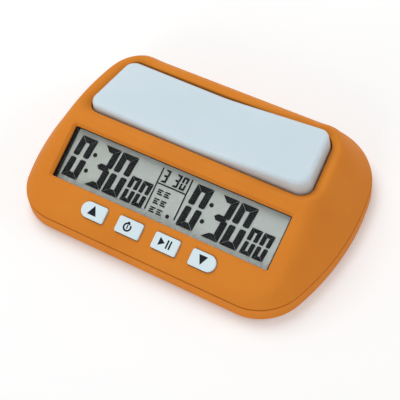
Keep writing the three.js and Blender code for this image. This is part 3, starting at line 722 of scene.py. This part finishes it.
def lip_drop(share):
    """Share of the lip's drop reached at a share of its width: a rounded crest, then a slope."""
    crest = 0.2
    bend = share * share / (2 * crest) if share < crest else share - crest / 2
    return bend / (1 - crest / 2)


SEAM_Z = PARTING_Z + GAP / 2
LOWER_TOP = PARTING_Z - GAP / 2
FLOOR_TOP = FLOOR_Z + FLOOR_THICK
LOWER_EDGE = 0.6                    # round edge between the underside and the wall
EDGE_REACH = 6.5                    # the band along the case edge with close rings
EDGE_RINGS = 24
TOP_RINGS = 44
LIP_RINGS = 16


def top_rings():
    """Rings of the upper case from the seam over the top, down the lip and the well to its floor."""
    rings = [[fix(*reach_at(p, 0.4), SEAM_Z) for p in CASE_RING]]
    starts = [reach_at(p, 0) for p in CASE_RING]
    widths = [lip_width(p.turn) for p in WELL_RING]
    ends = [reach_at(p, -w) for p, w in zip(WELL_RING, widths)]
    for k in range(1, EDGE_RINGS + TOP_RINGS + 1):
        ring = []
        for (x0, v0), (x1, v1) in zip(starts, ends):
            edge = EDGE_REACH / math.hypot(x1 - x0, v1 - v0)
            if k <= EDGE_RINGS:
                share = edge * k / EDGE_RINGS
            else:
                share = edge + (1 - edge) * (k - EDGE_RINGS) / TOP_RINGS
            x = x0 + (x1 - x0) * share
            v = v0 + (v1 - v0) * share
            ring.append(fix(x, v, max(top_height(x, v), SEAM_Z + 0.3)))
        rings.append(ring)
    edge = 0.3
    for k in range(1, LIP_RINGS + 1):
        ring = []
        for place, width in zip(WELL_RING, widths):
            x, v = reach_at(place, -edge - (width - edge) * (1 - k / LIP_RINGS))
            height = top_height(x, v)
            ring.append(fix(x, v, height - (height - lip_z(place.turn)) * lip_drop(k / LIP_RINGS)))
        rings.append(ring)
    fillet = 1.0
    rings.append([fix(*reach_at(p, -edge * 0.25), lip_z(p.turn) - edge * 0.6) for p in WELL_RING])
    rings.append([fix(*reach_at(p, 0), lip_z(p.turn) - edge * 1.6) for p in WELL_RING])
    for z in (LIP_Z - 3, LIP_Z - 6.5, WELL_FLOOR_Z + fillet):
        rings.append([fix(*reach_at(p, 0), z) for p in WELL_RING])
    for angle in quarter(4)[1:]:
        z = WELL_FLOOR_Z + fillet * (1 - math.sin(angle))
        rings.append([fix(*reach_at(p, fillet * (1 - math.cos(angle))), z) for p in WELL_RING])
    floor = [reach_at(p, fillet) for p in WELL_RING]
    for share in (0.75, 0.5, 0.25, 0.05):
        rings.append([fix(x * share, LEVER_V + (v - LEVER_V) * share, WELL_FLOOR_Z) for x, v in floor])
    return rings


def skin_body(rings, thickness, lowest=None):
    """A sheet through the rings, given a thickness below it. The last ring is closed by a flat face."""
    count = len(rings[0])
    points, faces = stack(rings, (False, True))
    sheet = bpy.data.meshes.new("sheet")
    sheet.from_pydata([tuple(p) for p in points], [], faces)
    sheet.update()
    inner = []
    for vertex in sheet.vertices:
        p = vertex.co - vertex.normal * thickness * MM
        if lowest is not None:
            p.z = max(p.z, lowest * MM)
        inner.append(p)
    bpy.data.meshes.remove(sheet)
    shift = len(points)
    under = [tuple(i + shift for i in reversed(face)) for face in faces]
    rim = [((i + 1) % count, i, i + shift, (i + 1) % count + shift) for i in range(count)]
    return points + inner, faces + under + rim


def four(spots):
    """Name, x and v of the four copies of a piece, left and right at the front and the back."""
    return [(f"{end}_{side}", sign * x, v) for end, (x, v) in spots.items()
            for side, sign in (("left", -1), ("right", 1))]


SCREWS = [(x, v) for _, x, v in four(SCREW_SPOTS)]
FEET = [(x, v) for _, x, v in four(FOOT_SPOTS)]
BOARD_SCREW_X = 42
SWITCH_SCREW_X = 18
BOARD_TOP = -7.3
SWITCH_BOARD_TOP = 9.6


def boss(x, v, radius, z0, sink=1.0, sides=32):
    """Post under the top skin; its upper end follows the skin and stops inside it."""
    ring = circle(x, v, radius, sides)
    return stack([[fix(px, pv, z0) for px, pv in ring],
                  [fix(px, pv, top_height(px, pv) - sink) for px, pv in ring]])


def face_post(x, s, radius, n0, n1):
    return turned([(radius, n0), (radius, n1)], lambda px, py, h: on_face(x + px, s + py, h))


def pedestal(v):
    """Bearing for the lever pin, standing on the floor of the well."""
    half, thick = 4, 3.5
    foot_z = WELL_FLOOR_Z - 1
    ring = [(half, foot_z), *arc(0, PIN_Z, half, 0, math.pi, 24), (-half, foot_z)]
    return stack([[fix(x, v + thick, z) for x, z in ring], [fix(x, v, z) for x, z in ring]])


def key_outline(round_end):
    """Outline of a key grown by some amount. round_end -1 or 1 makes that end a half circle."""
    full = KEY_HEIGHT / 2 / KEY_CORNER
    right = full if round_end > 0 else 1
    left = full if round_end < 0 else 1

    def outline(grow):
        return rounded_rectangle(KEY_WIDTH, KEY_HEIGHT, KEY_CORNER, grow, 10, (right, left, left, right))

    return outline


def window_outline(grow):
    return rounded_rectangle(*OPENING, 0.7, grow, 6)


def build_upper_case():
    case = new_piece("case_top", *skin_body(top_rings(), SKIN, SEAM_Z), SURFACES["orange_case"])
    posts = [boss(x, v, 3.6, SEAM_Z) if v < WELL_FRONT else rod(3.6, x, v, SEAM_Z, WELL_FLOOR_Z - 1)
             for x, v in SCREWS]
    posts += [face_post(side * BOARD_SCREW_X, KEY_S, 2.6, BOARD_TOP + GAP, -1) for side in (-1, 1)]
    posts += [rod(2.6, side * SWITCH_SCREW_X, LEVER_V, SWITCH_BOARD_TOP + GAP, WELL_FLOOR_Z - 1)
              for side in (-1, 1)]
    posts += [pedestal(v) for v in (LEVER_V - 7.5, LEVER_V + 4)]
    combine(case, "UNION", *posts)

    holes = [rod(1.7, x, v, 0, 12.6) for x, v in SCREWS]
    holes += [face_post(side * BOARD_SCREW_X, KEY_S, 1.2, BOARD_TOP, -SKIN - 1) for side in (-1, 1)]
    holes += [rod(1.2, side * SWITCH_SCREW_X, LEVER_V, 8, 14) for side in (-1, 1)]
    holes += [rod(PLUNGER_RADIUS + GAP, side * PLUNGER_X, LEVER_V, 10, 20) for side in (-1, 1)]
    holes += [rod_y(PIN_RADIUS + GAP, 0, PIN_Z, LEVER_V - 12, LEVER_V + 12)]
    deep = -SKIN - 2
    flare = [(0, deep), (0, -BEVEL_DEEP - 0.12), (0.03, -BEVEL_DEEP), (0.12, -BEVEL_DEEP + 0.09),
             (BEVEL_OUT - 0.35, -0.34), (BEVEL_OUT - 0.1, -0.13), (BEVEL_OUT + 0.25, 0.04),
             (BEVEL_OUT + 0.9, 0.2)]
    holes += [face_stack(DISPLAY_X, DISPLAY_S, window_outline, flare)]
    rim = [(KEY_GAP, deep), (KEY_GAP, -0.25), (KEY_GAP + 0.03, -0.12), (KEY_GAP + 0.11, -0.03),
           (KEY_GAP + 0.3, 0.03), (KEY_GAP + 0.7, 0.16)]
    holes += [face_stack(slot * KEY_PITCH, KEY_S, key_outline(end), rim) for _, slot, end in KEYS]
    combine(case, "DIFFERENCE", *holes)
    even_normals(case)
    return settle(case, "case", "orange_case", "upper_case")


# ---------------------------------------------------------------- lower case and battery door


def outer_corner():
    """Inset and height round the edge between the underside and the wall."""
    return [(LOWER_EDGE * (1 - math.sin(a)), FLOOR_Z + LOWER_EDGE * (1 - math.cos(a))) for a in quarter(8)]


WALL_TOP = [(0, LOWER_TOP - 0.5), (0.12, LOWER_TOP - 0.2), (0.45, LOWER_TOP)]


def tray_rings():
    """Section of the lower case, from the middle of its underside round to the middle inside."""
    section = [(LOWER_EDGE + 1.2, FLOOR_Z), *outer_corner(), (0, 5), *WALL_TOP]
    tongue_out, tongue_in, tongue_top = 3.7, 4.7, 9.2
    section += [(tongue_out, LOWER_TOP), (tongue_out, tongue_top - 0.2), (tongue_out + 0.2, tongue_top)]
    section += [(tongue_in - 0.2, tongue_top), (tongue_in, tongue_top - 0.2), (tongue_in, 6.6), (WALL, 5.4)]
    section += [(WALL, FLOOR_TOP + 0.6), (WALL + 0.6, FLOOR_TOP)]
    rings = [[fix(*reach_at(p, inset), z) for p in CASE_RING] for inset, z in section]
    middle = CASE_DEPTH / 2

    def shrunk(inset, z, share):
        spots = [reach_at(p, inset) for p in CASE_RING]
        return [fix(x * share, middle + (v - middle) * share, z) for x, v in spots]

    below = [shrunk(LOWER_EDGE + 1.2, FLOOR_Z, share) for share in (0.04, 0.35, 0.7)]
    above = [shrunk(WALL + 0.6, FLOOR_TOP, share) for share in (0.7, 0.35, 0.04)]
    return below + rings + above


def recess(radius, x, v, depth, lip=0.35):
    """Round recess in the underside with a softened mouth."""
    profile = [(radius + lip + 0.3, FLOOR_Z - 0.3), (radius + lip, FLOOR_Z - 0.02)]
    for a in quarter(3)[1:]:
        profile.append((radius + lip * (1 - math.sin(a)), FLOOR_Z + lip * (1 - math.cos(a))))
    profile.append((radius, FLOOR_Z + depth))
    return turned(profile, upright(x, v))


def build_lower_case():
    case = new_piece("case_bottom", *stack(tray_rings()), SURFACES["orange_case"])
    bosses = [rod(4.4, x, v, FLOOR_Z + 0.5, LOWER_TOP - GAP) for x, v in SCREWS]
    rib_out, rib_in = BAY_HALF + 1.6, BAY_HALF - 0.4
    rib_low, rib_top, rib_back = FLOOR_TOP - 0.5, 7.2, CASE_DEPTH - 1.2
    ribs = [
        box(-rib_out, rib_out, BAY_FRONT - 1.6, BAY_FRONT + 0.4, rib_low, rib_top),
        box(-rib_out, -rib_in, BAY_FRONT + 1, rib_back, rib_low, rib_top),
        box(rib_in, rib_out, BAY_FRONT + 1, rib_back, rib_low, rib_top),
    ]
    combine(case, "UNION", *bosses, *ribs[:1])
    combine(case, "UNION", *ribs[1:])
    holes = [recess(3.3, x, v, 3.5) for x, v in SCREWS]
    holes += [recess(FOOT_RADIUS + GAP, x, v, 0.8, 0.2) for x, v in FEET]
    sound_spots = [(SOUND_X, SOUND_V), *circle(SOUND_X, SOUND_V, SOUND_RING, 6)]
    holes += [recess(1, x, v, 3, 0.25) for x, v in sound_spots]
    holes += [box(POWER_X - POWER_HALF - POWER_TRAVEL - GAP, POWER_X + POWER_HALF + GAP,
                  POWER_V - POWER_HALF - GAP, POWER_V + POWER_HALF + GAP, 0, 4)]
    holes += [box(-BAY_HALF, BAY_HALF, BAY_FRONT, CASE_DEPTH + 5, 0, 12)]
    combine(case, "DIFFERENCE", *holes)
    combine(case, "DIFFERENCE", *[rod(1.7, x, v, 3, 10) for x, v in SCREWS])
    even_normals(case)
    return settle(case, "case", "orange_case", "lower_case")


def build_battery_door():
    half = BAY_HALF - GAP
    back = CASE_DEPTH
    front = BAY_FRONT + GAP
    section = [(front, FLOOR_Z), (back - 3.2, FLOOR_Z)]
    section += [(back - inset, z) for inset, z in outer_corner() + WALL_TOP]
    section += [(back - WALL, LOWER_TOP), (back - WALL, FLOOR_TOP), (front, FLOOR_TOP)]
    door = new_piece("door", *stack([[fix(x, v, z) for v, z in section] for x in (half, -half)]),
                     SURFACES["orange_case"])
    grooves = [box(-7, 7, back - inset - 0.4, back - inset + 0.4, 0, FLOOR_Z + 0.45)
               for inset in (13, 11, 9, 7)]
    arrow = [(-2.2, back - 17.4), (2.2, back - 17.4), (0, back - 14.8)]
    grooves.append(stack([[fix(x, v, 0) for x, v in arrow], [fix(x, v, FLOOR_Z + 0.4) for x, v in arrow]]))
    combine(door, "DIFFERENCE", *grooves)
    round_edges(door, 0.15, 2)
    even_normals(door)
    return settle(door, "battery_door", "orange_case", "battery_door")


# ---------------------------------------------------------------- lever

LEVER_FRAME = (Matrix.Translation(fix(0, LEVER_V, PIN_Z)) @ Matrix.Rotation(-LEVER_ROCK, 4, "Y")
               @ Matrix.Translation(-fix(0, LEVER_V, PIN_Z)))


def on_lever(x, v, height):
    """Point given from the pin, with the lever level, turned to its resting tilt."""
    return LEVER_FRAME @ fix(x, v, PIN_Z + height)


def lever_top(x):
    """Height of the lever's top over the pin: two rising halves with a soft bend."""
    soft = 3.0
    return LEVER_CREST + (math.sqrt(x * x + soft * soft) - soft * 0.6) * math.tan(LEVER_BEND)


def drafted(height):
    """How far the lever's wall leans in at a height over the pin."""
    return (height - LEVER_DRAFT_FROM) * math.tan(LEVER_DRAFT)


LEVER_RINGS = 24


def build_lever():
    rings = []
    places = WELL_RING
    for height in (LEVER_SKIRT, LEVER_SKIRT + 3.5, LEVER_DRAFT_FROM):
        rings.append([on_lever(*reach_at(p, LEVER_GAP), height) for p in places])
    slopes = [LEVER_GAP + drafted(lever_top(reach_at(p, LEVER_GAP)[0]) - LEVER_ROUND) for p in places]
    for angle in quarter(8):
        drop = LEVER_ROUND * (1 - math.sin(angle))
        ring = []
        for p, slope in zip(places, slopes):
            x, v = reach_at(p, slope + LEVER_ROUND * (1 - math.cos(angle)))
            ring.append(on_lever(x, v, lever_top(x) - drop))
        rings.append(ring)
    rim = [reach_at(p, slope + LEVER_ROUND) for p, slope in zip(places, slopes)]
    for k in range(LEVER_RINGS - 1, 0, -1):
        share = k / LEVER_RINGS
        ring = []
        for x, v in rim:
            ring.append(on_lever(x * share, LEVER_V + (v - LEVER_V) * share, lever_top(x * share)))
        rings.append(ring)
    lever = new_piece("lever_shell", *skin_body(rings, LEVER_WALL), SURFACES["white_lever"])
    parts = []
    half, thick, root = 4, 3.4, LEVER_CREST - 1
    for v in (LEVER_V - 12.6, LEVER_V + 9.2):
        ring = [(half, root), *arc(0, 0, half, 0, -math.pi, 24), (-half, root)]
        parts.append(stack([[on_lever(x, v + deep, z) for x, z in ring] for deep in (0, thick)]))
    for side in (-1, 1):
        place = lambda px, py, h, side=side: on_lever(side * PLUNGER_X + px, LEVER_V + py, h)
        parts.append(turned([(3, -1.5), (3, LEVER_CREST + 1.2)], place))
    combine(lever, "UNION", *parts)
    combine(lever, "DIFFERENCE", rod_y(PIN_RADIUS + GAP, 0, PIN_Z, LEVER_V - 16, LEVER_V + 16))
    even_normals(lever)
    return settle(lever, "lever", "white_lever", "rocker_lever")


# ---------------------------------------------------------------- display


def flat_body(points, n0, n1):
    """Thin body on the front face from an outline of (x, s)."""
    return stack([[on_face(x, s, n) for x, s in points] for n in (n0, n1)])


def segment_shapes(width, height, stem, level):
    """The seven segments of a digit, as outlines from its lower left corner.

    stem and level are the thickness of its standing and lying segments.
    """
    w, h, m = width, height, height / 2
    cut = gap = stem * 0.18
    top = [(cut * 0.35, h), (w - cut * 0.35, h), (w - stem, h - level), (stem, h - level)]
    bottom = [(x, h - y) for x, y in top][::-1]
    half, tip = level * 0.54, stem * 0.35
    middle = [(tip, m), (tip + half, m + half), (w - tip - half, m + half), (w - tip, m),
              (w - tip - half, m - half), (tip + half, m - half)]
    upper_left = [(0, h - cut * 0.15), (stem, h - level - cut * 0.3), (stem, m + gap + cut),
                  (stem - cut, m + gap), (cut, m + gap), (0, m + gap + cut)]
    lower_left = [(x, h - y) for x, y in upper_left][::-1]
    upper_right = [(w - x, y) for x, y in upper_left][::-1]
    lower_right = [(w - x, y) for x, y in lower_left][::-1]
    return {"a": top, "b": upper_right, "c": lower_right, "d": bottom, "e": lower_left, "f": upper_left,
            "g": middle}


LIT = {"0": "abcdef", "3": "abgcd"}
SLANT = 5 * DEG
INK_LOW = LCD_N + 0.12
INK_HIGH = LCD_N + 0.2


def counterclockwise(points):
    area = sum(x0 * y1 - x1 * y0 for (x0, y0), (x1, y1) in zip(points, points[1:] + points[:1]))
    return points if area > 0 else points[::-1]


def ink(points):
    return flat_body(counterclockwise(points), INK_LOW, INK_HIGH)


def digit(figure, x, s, width, height, stem, level):
    shapes = segment_shapes(width, height, stem, level)
    bodies = []
    for name in LIT[figure]:
        bodies.append(ink([(x + px + py * math.tan(SLANT), s + py) for px, py in shapes[name]]))
    return bodies


def block(x0, x1, s0, s1):
    """Outline of an upright block on the front face."""
    return [(x0, s0), (x1, s0), (x1, s1), (x0, s1)]


def bar(x0, x1, s0, s1):
    return ink(block(x0, x1, s0, s1))


def dot(x, s, radius):
    return ink(circle(x, s, radius, 24))


def clock_reading(left):
    """One side's time: a large digit, colon, two large digits and two small ones."""
    large = (8.2, 20.0, 3.1, 2.65)
    small = (5.1, 11.9, 2.0, 1.65)
    base = 20.2
    bodies = digit("0", left, base, *large)
    bodies += [dot(left + 10.6, 25.9, 1.0), dot(left + 11.4, 33.9, 1.0)]
    bodies += digit("3", left + 12.5, base, *large)
    bodies += digit("0", left + 21.7, base, *large)
    for shift in (31.3, 37.2):
        bodies += digit("0", left + shift, base + 0.1, *small)
    return bodies


def centre_panel():
    """Dividers, a small reading above and three rows of plain bars below."""
    line = 0.3
    bodies = [bar(-8.6 - line, -8.6 + line, 21, 40.8), bar(6.1 - line, 6.1 + line, 21.5, 40.8)]
    bodies += [bar(-8.1, 5.6, 33.7 - line, 33.7 + line)]
    for figure, x in (("3", -7.6), ("3", -1.9), ("0", 1.6)):
        bodies += digit(figure, x, 34.6, 2.7, 6.0, 0.9, 0.85)
    for s in (30.2, 26, 22):
        for x in (-6.5, -3.0):
            for rise, length in ((-0.95, 2.6), (0, 1.9), (0.95, 2.6)):
                bodies.append(bar(x, x + length, s + rise - 0.29, s + rise + 0.29))
    bodies.append(dot(2.6, 21.8, 0.9))
    return bodies


def build_display():
    outline = lambda width, height, radius: (lambda grow: rounded_rectangle(width, height, radius, grow, 4))
    glass = face_stack(DISPLAY_X, DISPLAY_S, outline(109.8, 28, 0.3),
                       [(-0.1, -6), (0, -5.9), (0, LCD_N - 0.1), (-0.1, LCD_N)])
    finished("display_panel", glass, "case", "display_glass", "lcd_panel")
    for name, bodies in (("reading_left", clock_reading(-52.7)), ("reading_right", clock_reading(7.4)),
                         ("centre_panel", centre_panel())):
        settle(new_piece(name, *merged(*bodies), DISPLAY_INK), "case", "display_glass")
    window = face_stack(DISPLAY_X, DISPLAY_S, outline(110.4, 26.4, 1),
                        [(-0.15, -3.1), (0, -2.95), (0, -2.45), (-0.15, -2.3)])
    finished("window", window, "case", "clear_window", "display_window")
    view = [outline(*BEZEL_OPENING, 0.5)(grow) for grow in (0, 0, 0.15)]
    outer = outline(112.2, 30, 1)(0)
    pocket = outline(110.4, 28.6, 0.4)(0)
    levels = [(outer, -5.9), (outer, -3.4), (view[2], -3.4), (view[1], -3.55), (view[0], LCD_N + GAP),
              (pocket, LCD_N + GAP), (pocket, -5.9)]
    rings = [[on_face(DISPLAY_X + x, DISPLAY_S + s, n) for x, s in ring] for ring, n in levels]
    points, faces = stack(rings, (False, False))
    count = len(outer)
    last = (len(rings) - 1) * count
    faces += [(last + i, last + (i + 1) % count, (i + 1) % count, i) for i in range(count)]
    finished("bezel", (points, faces), "case", "black_plastic", "display_frame")


# ---------------------------------------------------------------- keys


def key_body(slot, round_end):
    """Key cap with a rounded top edge and the flange that keeps it in the case."""
    n_flange = -SKIN - GAP
    edge = 0.32
    profile = [(0.9, n_flange - 0.9), (0.9, n_flange), (0, n_flange)]
    profile += [(0, KEY_PROUD - edge)]
    profile += [(-edge * (1 - math.cos(a)), KEY_PROUD - edge * (1 - math.sin(a))) for a in quarter(6)[1:]]
    return face_stack(slot * KEY_PITCH, KEY_S, key_outline(round_end), profile)


PRINT_LOW = KEY_PROUD - 0.05
PRINT_HIGH = KEY_PROUD + 0.025


def print_on_key(shapes):
    """Thin printed shapes on the key tops, from outlines of (x, s)."""
    return merged(*[flat_body(counterclockwise(points), PRINT_LOW, PRINT_HIGH) for points in shapes])


def rounded_triangle(cx, s0, s1, half, up):
    base, apex = (s0, s1) if up else (s1, s0)
    return [(cx - half, base), (cx + half, base), (cx + 0.08, apex), (cx - 0.08, apex)]


def timer_mark(cx):
    """Open ring with a knob on top and a hand: a stopwatch."""
    ring_s, radius, stroke = 10.3, 1.75 * 1.17, 0.78
    first, last, steps = 60 * DEG, 400 * DEG, 40
    outer = arc(cx, ring_s, radius, first, last, steps)
    inner = arc(cx, ring_s, radius - stroke, first, last, steps)
    knob = block(cx - 0.55, cx + 0.55, 12.1, 12.75)
    hand = block(cx - 0.27, cx + 0.27, 9.5, 11.4)
    return outer, inner, [knob, hand]


def mark_shapes(name, centre):
    if name == "up":
        return [rounded_triangle(centre - 0.15, 8.6, 12.9, 2.25, True)]
    if name == "down":
        return [rounded_triangle(centre - 0.5, 8.5, 12.6, 2.1, False)]
    bars = [block(centre + x, centre + x + 0.75, 8.6, 12.5) for x in (0.55, 1.95)]
    play = [(centre - 3.15, 8.7), (centre - 0.35, 10.6), (centre - 3.15, 12.5)]
    return [play, *bars]


def ring_body(outer, inner):
    """One closed printed body between an outer and an inner line."""
    rings = []
    for a, b in zip(outer, inner):
        rings.append([on_face(*a, PRINT_LOW), on_face(*a, PRINT_HIGH), on_face(*b, PRINT_HIGH),
                      on_face(*b, PRINT_LOW)])
    return stack(rings)


def build_keys():
    for name, slot, round_end in KEYS:
        key = new_piece(f"key_{name}", *key_body(slot, round_end), SURFACES["white_keys"])
        even_normals(key)
        settle(key, f"key_{name}", "white_keys", f"button_{name}")
        centre = slot * KEY_PITCH
        if name == "timer":
            outer, inner, blocks = timer_mark(centre - 0.75)
            mark = merged(ring_body(outer, inner), print_on_key(blocks))
        else:
            mark = print_on_key(mark_shapes(name, centre))
        settle(new_piece(f"print_{name}", *mark, PRINTED_INK), f"key_{name}", "black_plastic")


# ---------------------------------------------------------------- small parts


def build_feet():
    edge = 0.6
    profile = [(0.6, 0.28), (2.4, 0.2), (3.6, 0.02), (3.8, 0.0)]
    profile += [(FOOT_RADIUS - edge * (1 - math.sin(a)), edge * (1 - math.cos(a))) for a in quarter(5)]
    profile += [(FOOT_RADIUS, 1.4), (FOOT_RADIUS - 0.1, 1.5)]
    for spot, x, v in four(FOOT_SPOTS):
        finished(f"pad_{spot}", turned(profile, upright(x, v), 48), "case", "rubber", f"foot_{spot}")


def screw_profile():
    """Domed head, threads and point of a case screw."""
    head, core, thread = 2.9, 1.1, 1.4
    low, high = 2.2, 4.2
    dome = high - 0.5
    profile = [(0.5, low)]
    profile += [(head * math.sin(a), dome - (dome - low) * math.cos(a)) for a in quarter(8)[2:]]
    profile += [(head, high), (thread, high)]
    for turn in range(7):
        z = high + 0.6 + turn
        profile += [(core, z), (thread, z + 0.5)]
    return profile + [(1.0, 11.8), (0.3, 12.2)]


def cross_ring():
    """Outline of the cross in a screw head, about its middle."""
    arm, half = 1.8, 0.35
    corner = [(half, arm), (half, half), (arm, half)]
    ring = []
    for k in range(4):
        c, s = math.cos(k * math.pi / 2), math.sin(k * math.pi / 2)
        ring += [(a * c - b * s, a * s + b * c) for a, b in reversed(corner)]
    return counterclockwise(ring)


def build_screws():
    ring = cross_ring()
    for spot, x, v in four(SCREW_SPOTS):
        screw = new_piece(f"screw_{spot}", *turned(screw_profile(), upright(x, v)), SURFACES["steel"])
        cross = stack([[fix(x + a * share, v + b * share, z) for a, b in ring]
                       for share, z in ((1, 1.5), (0.75, 3.4))])
        combine(screw, "DIFFERENCE", cross)
        settle(screw, "case", "steel", f"case_screw_{spot}")


def build_power_slider():
    x, v, half = POWER_X, POWER_V, POWER_HALF
    stem = new_piece("slide", *box(x - half, x + half, v - half, v + half, 0.4, 5.8),
                     SURFACES["black_plastic"])
    grooves = [box(x + shift - 0.2, x + shift + 0.2, v - 2, v + 2, 0, 0.75) for shift in (-0.8, 0, 0.8)]
    combine(stem, "DIFFERENCE", *grooves)
    round_edges(stem, 0.1, 2)
    settle(stem, "power_slider", "black_plastic", "power_slider")


def build_cell():
    """Battery cell: sleeve with rolled ends and a stepped cap."""
    radius, half = 7.1, 24.6
    profile = [(0.5, -half), (4.6, -half), (4.8, -half + 0.15), (radius - 0.7, -half + 0.15)]
    profile += [(radius - 0.5 * (1 - math.sin(a)), -half + 0.5 * (1 - math.cos(a))) for a in quarter(5)]
    profile += [(radius - 0.5 * (1 - math.cos(a)), half - 0.5 * (1 - math.sin(a))) for a in quarter(5)]
    profile += [(5.0, half), (4.7, half - 0.2), (2.8, half - 0.2), (2.6, half), (2.6, half + 0.9)]
    profile += [(2.3, half + 1.2), (0.5, half + 1.2)]
    shape = turned(profile, lambda px, py, h: fix(h, CELL_V - px, CELL_Z + py), 56)
    finished("cell", shape, "case", "cell_wrap", "battery_cell")


def build_spring():
    """Conical coil spring behind the cell."""
    wire, turns, steps, sides = 0.4, 3.5, 150, 12
    x0, x1 = -BAY_HALF + 1.8, -24.6 - GAP - wire
    rings = []
    for i in range(steps + 1):
        t = i / steps
        radius = 4.8 + (2.6 - 4.8) * t
        angle = 2 * math.pi * turns * t
        outwards = Vector((0, math.cos(angle), math.sin(angle)))
        centre = Vector((x0 + (x1 - x0) * t, CELL_V, CELL_Z)) + outwards * radius
        ring = []
        for k in range(sides):
            turn = 2 * math.pi * k / sides
            p = centre + (outwards * math.cos(turn) + Vector((1, 0, 0)) * math.sin(turn)) * wire
            ring.append(fix(p.x, p.y, p.z))
        rings.append(ring)
    finished("coil", stack(rings), "case", "spring_steel", "battery_spring")


def dress_frame_nodes():
    """Materials for the inner pieces that keep their CAD shape."""
    slots = {}
    for part in frame["record"].get("subparts", []):
        slots[part["node"]] = part.get("material_slot")
    for name, node in frame["nodes"].items():
        if node.hide_render:
            continue
        slot = slots.get(name) or "black_plastic"
        node.data.materials.clear()
        node.data.materials.append(SURFACES[slot])
        soften(node, 40)


# ---------------------------------------------------------------- studio


def build_floor():
    half = 3000
    ring = [fix(-half, -half, 0), fix(half, -half, 0), fix(half, half, 0), fix(-half, half, 0)]
    floor = new_piece("studio_floor", ring, [(0, 1, 2, 3)], floor_paper())


def area_light(name, direction, distance, size, power, colour):
    """Soft square lamp that shines at the clock from a direction."""
    lamp = bpy.data.lights.new(name, "AREA")
    lamp.shape = "SQUARE"
    lamp.size = size
    lamp.energy = power
    lamp.color = colour
    item = bpy.data.objects.new(name, lamp)
    bpy.context.scene.collection.objects.link(item)
    away = Vector(direction).normalized()
    item.location = away * distance
    item.rotation_mode = "QUATERNION"
    item.rotation_quaternion = away.to_track_quat("Z", "Y")


def build_lights():
    area_light("key_light", (-0.45, 0.3, 0.9), distance=1.3, size=1.0, power=11.0, colour=(0.96, 1.0, 1.01))
    area_light("fill_light", (0.0, -1.2, 0.4), distance=1.5, size=0.9, power=7.6, colour=(1.0, 0.98, 0.97))
    area_light("side_light", (1.0, 0.55, 0.45), distance=1.4, size=0.8, power=4.2, colour=(1.0, 0.92, 0.9))
    world = bpy.data.worlds.new("studio")
    world.use_nodes = True
    sky = world.node_tree.nodes["Background"]
    sky.inputs["Color"].default_value = (1, 0.965, 0.955, 1)
    sky.inputs["Strength"].default_value = 0.4
    bpy.context.scene.world = world
    bpy.context.scene.view_settings.view_transform = "Standard"


def build_camera():
    """Camera on the front right, looking down at the clock and rolled a little."""
    azimuth, elevation, roll = 36.77 * DEG, 53.61 * DEG, -7.72 * DEG
    target = Vector((0, -1.5, -9.05)) * MM
    distance = 518.6 * MM
    back = Vector((math.sin(azimuth) * math.cos(elevation), -math.cos(azimuth) * math.cos(elevation),
                   math.sin(elevation)))
    level = Vector((math.cos(azimuth), math.sin(azimuth), 0))
    rise = back.cross(level)
    right = level * math.cos(roll) + rise * math.sin(roll)
    up = rise * math.cos(roll) - level * math.sin(roll)
    lens = bpy.data.cameras.new("camera")
    lens.sensor_width = 36
    lens.lens = 101.27
    camera = bpy.data.objects.new("camera", lens)
    bpy.context.scene.collection.objects.link(camera)
    place = Matrix((right, up, back)).transposed().to_4x4()
    place.translation = target + back * distance
    camera.matrix_world = place
    bpy.context.scene.camera = camera


for build in (build_upper_case, build_lower_case, build_battery_door, build_lever, build_display,
              build_keys, build_feet, build_screws, build_power_slider, build_cell, build_spring,
              dress_frame_nodes, build_floor, build_lights, build_camera):
    build()
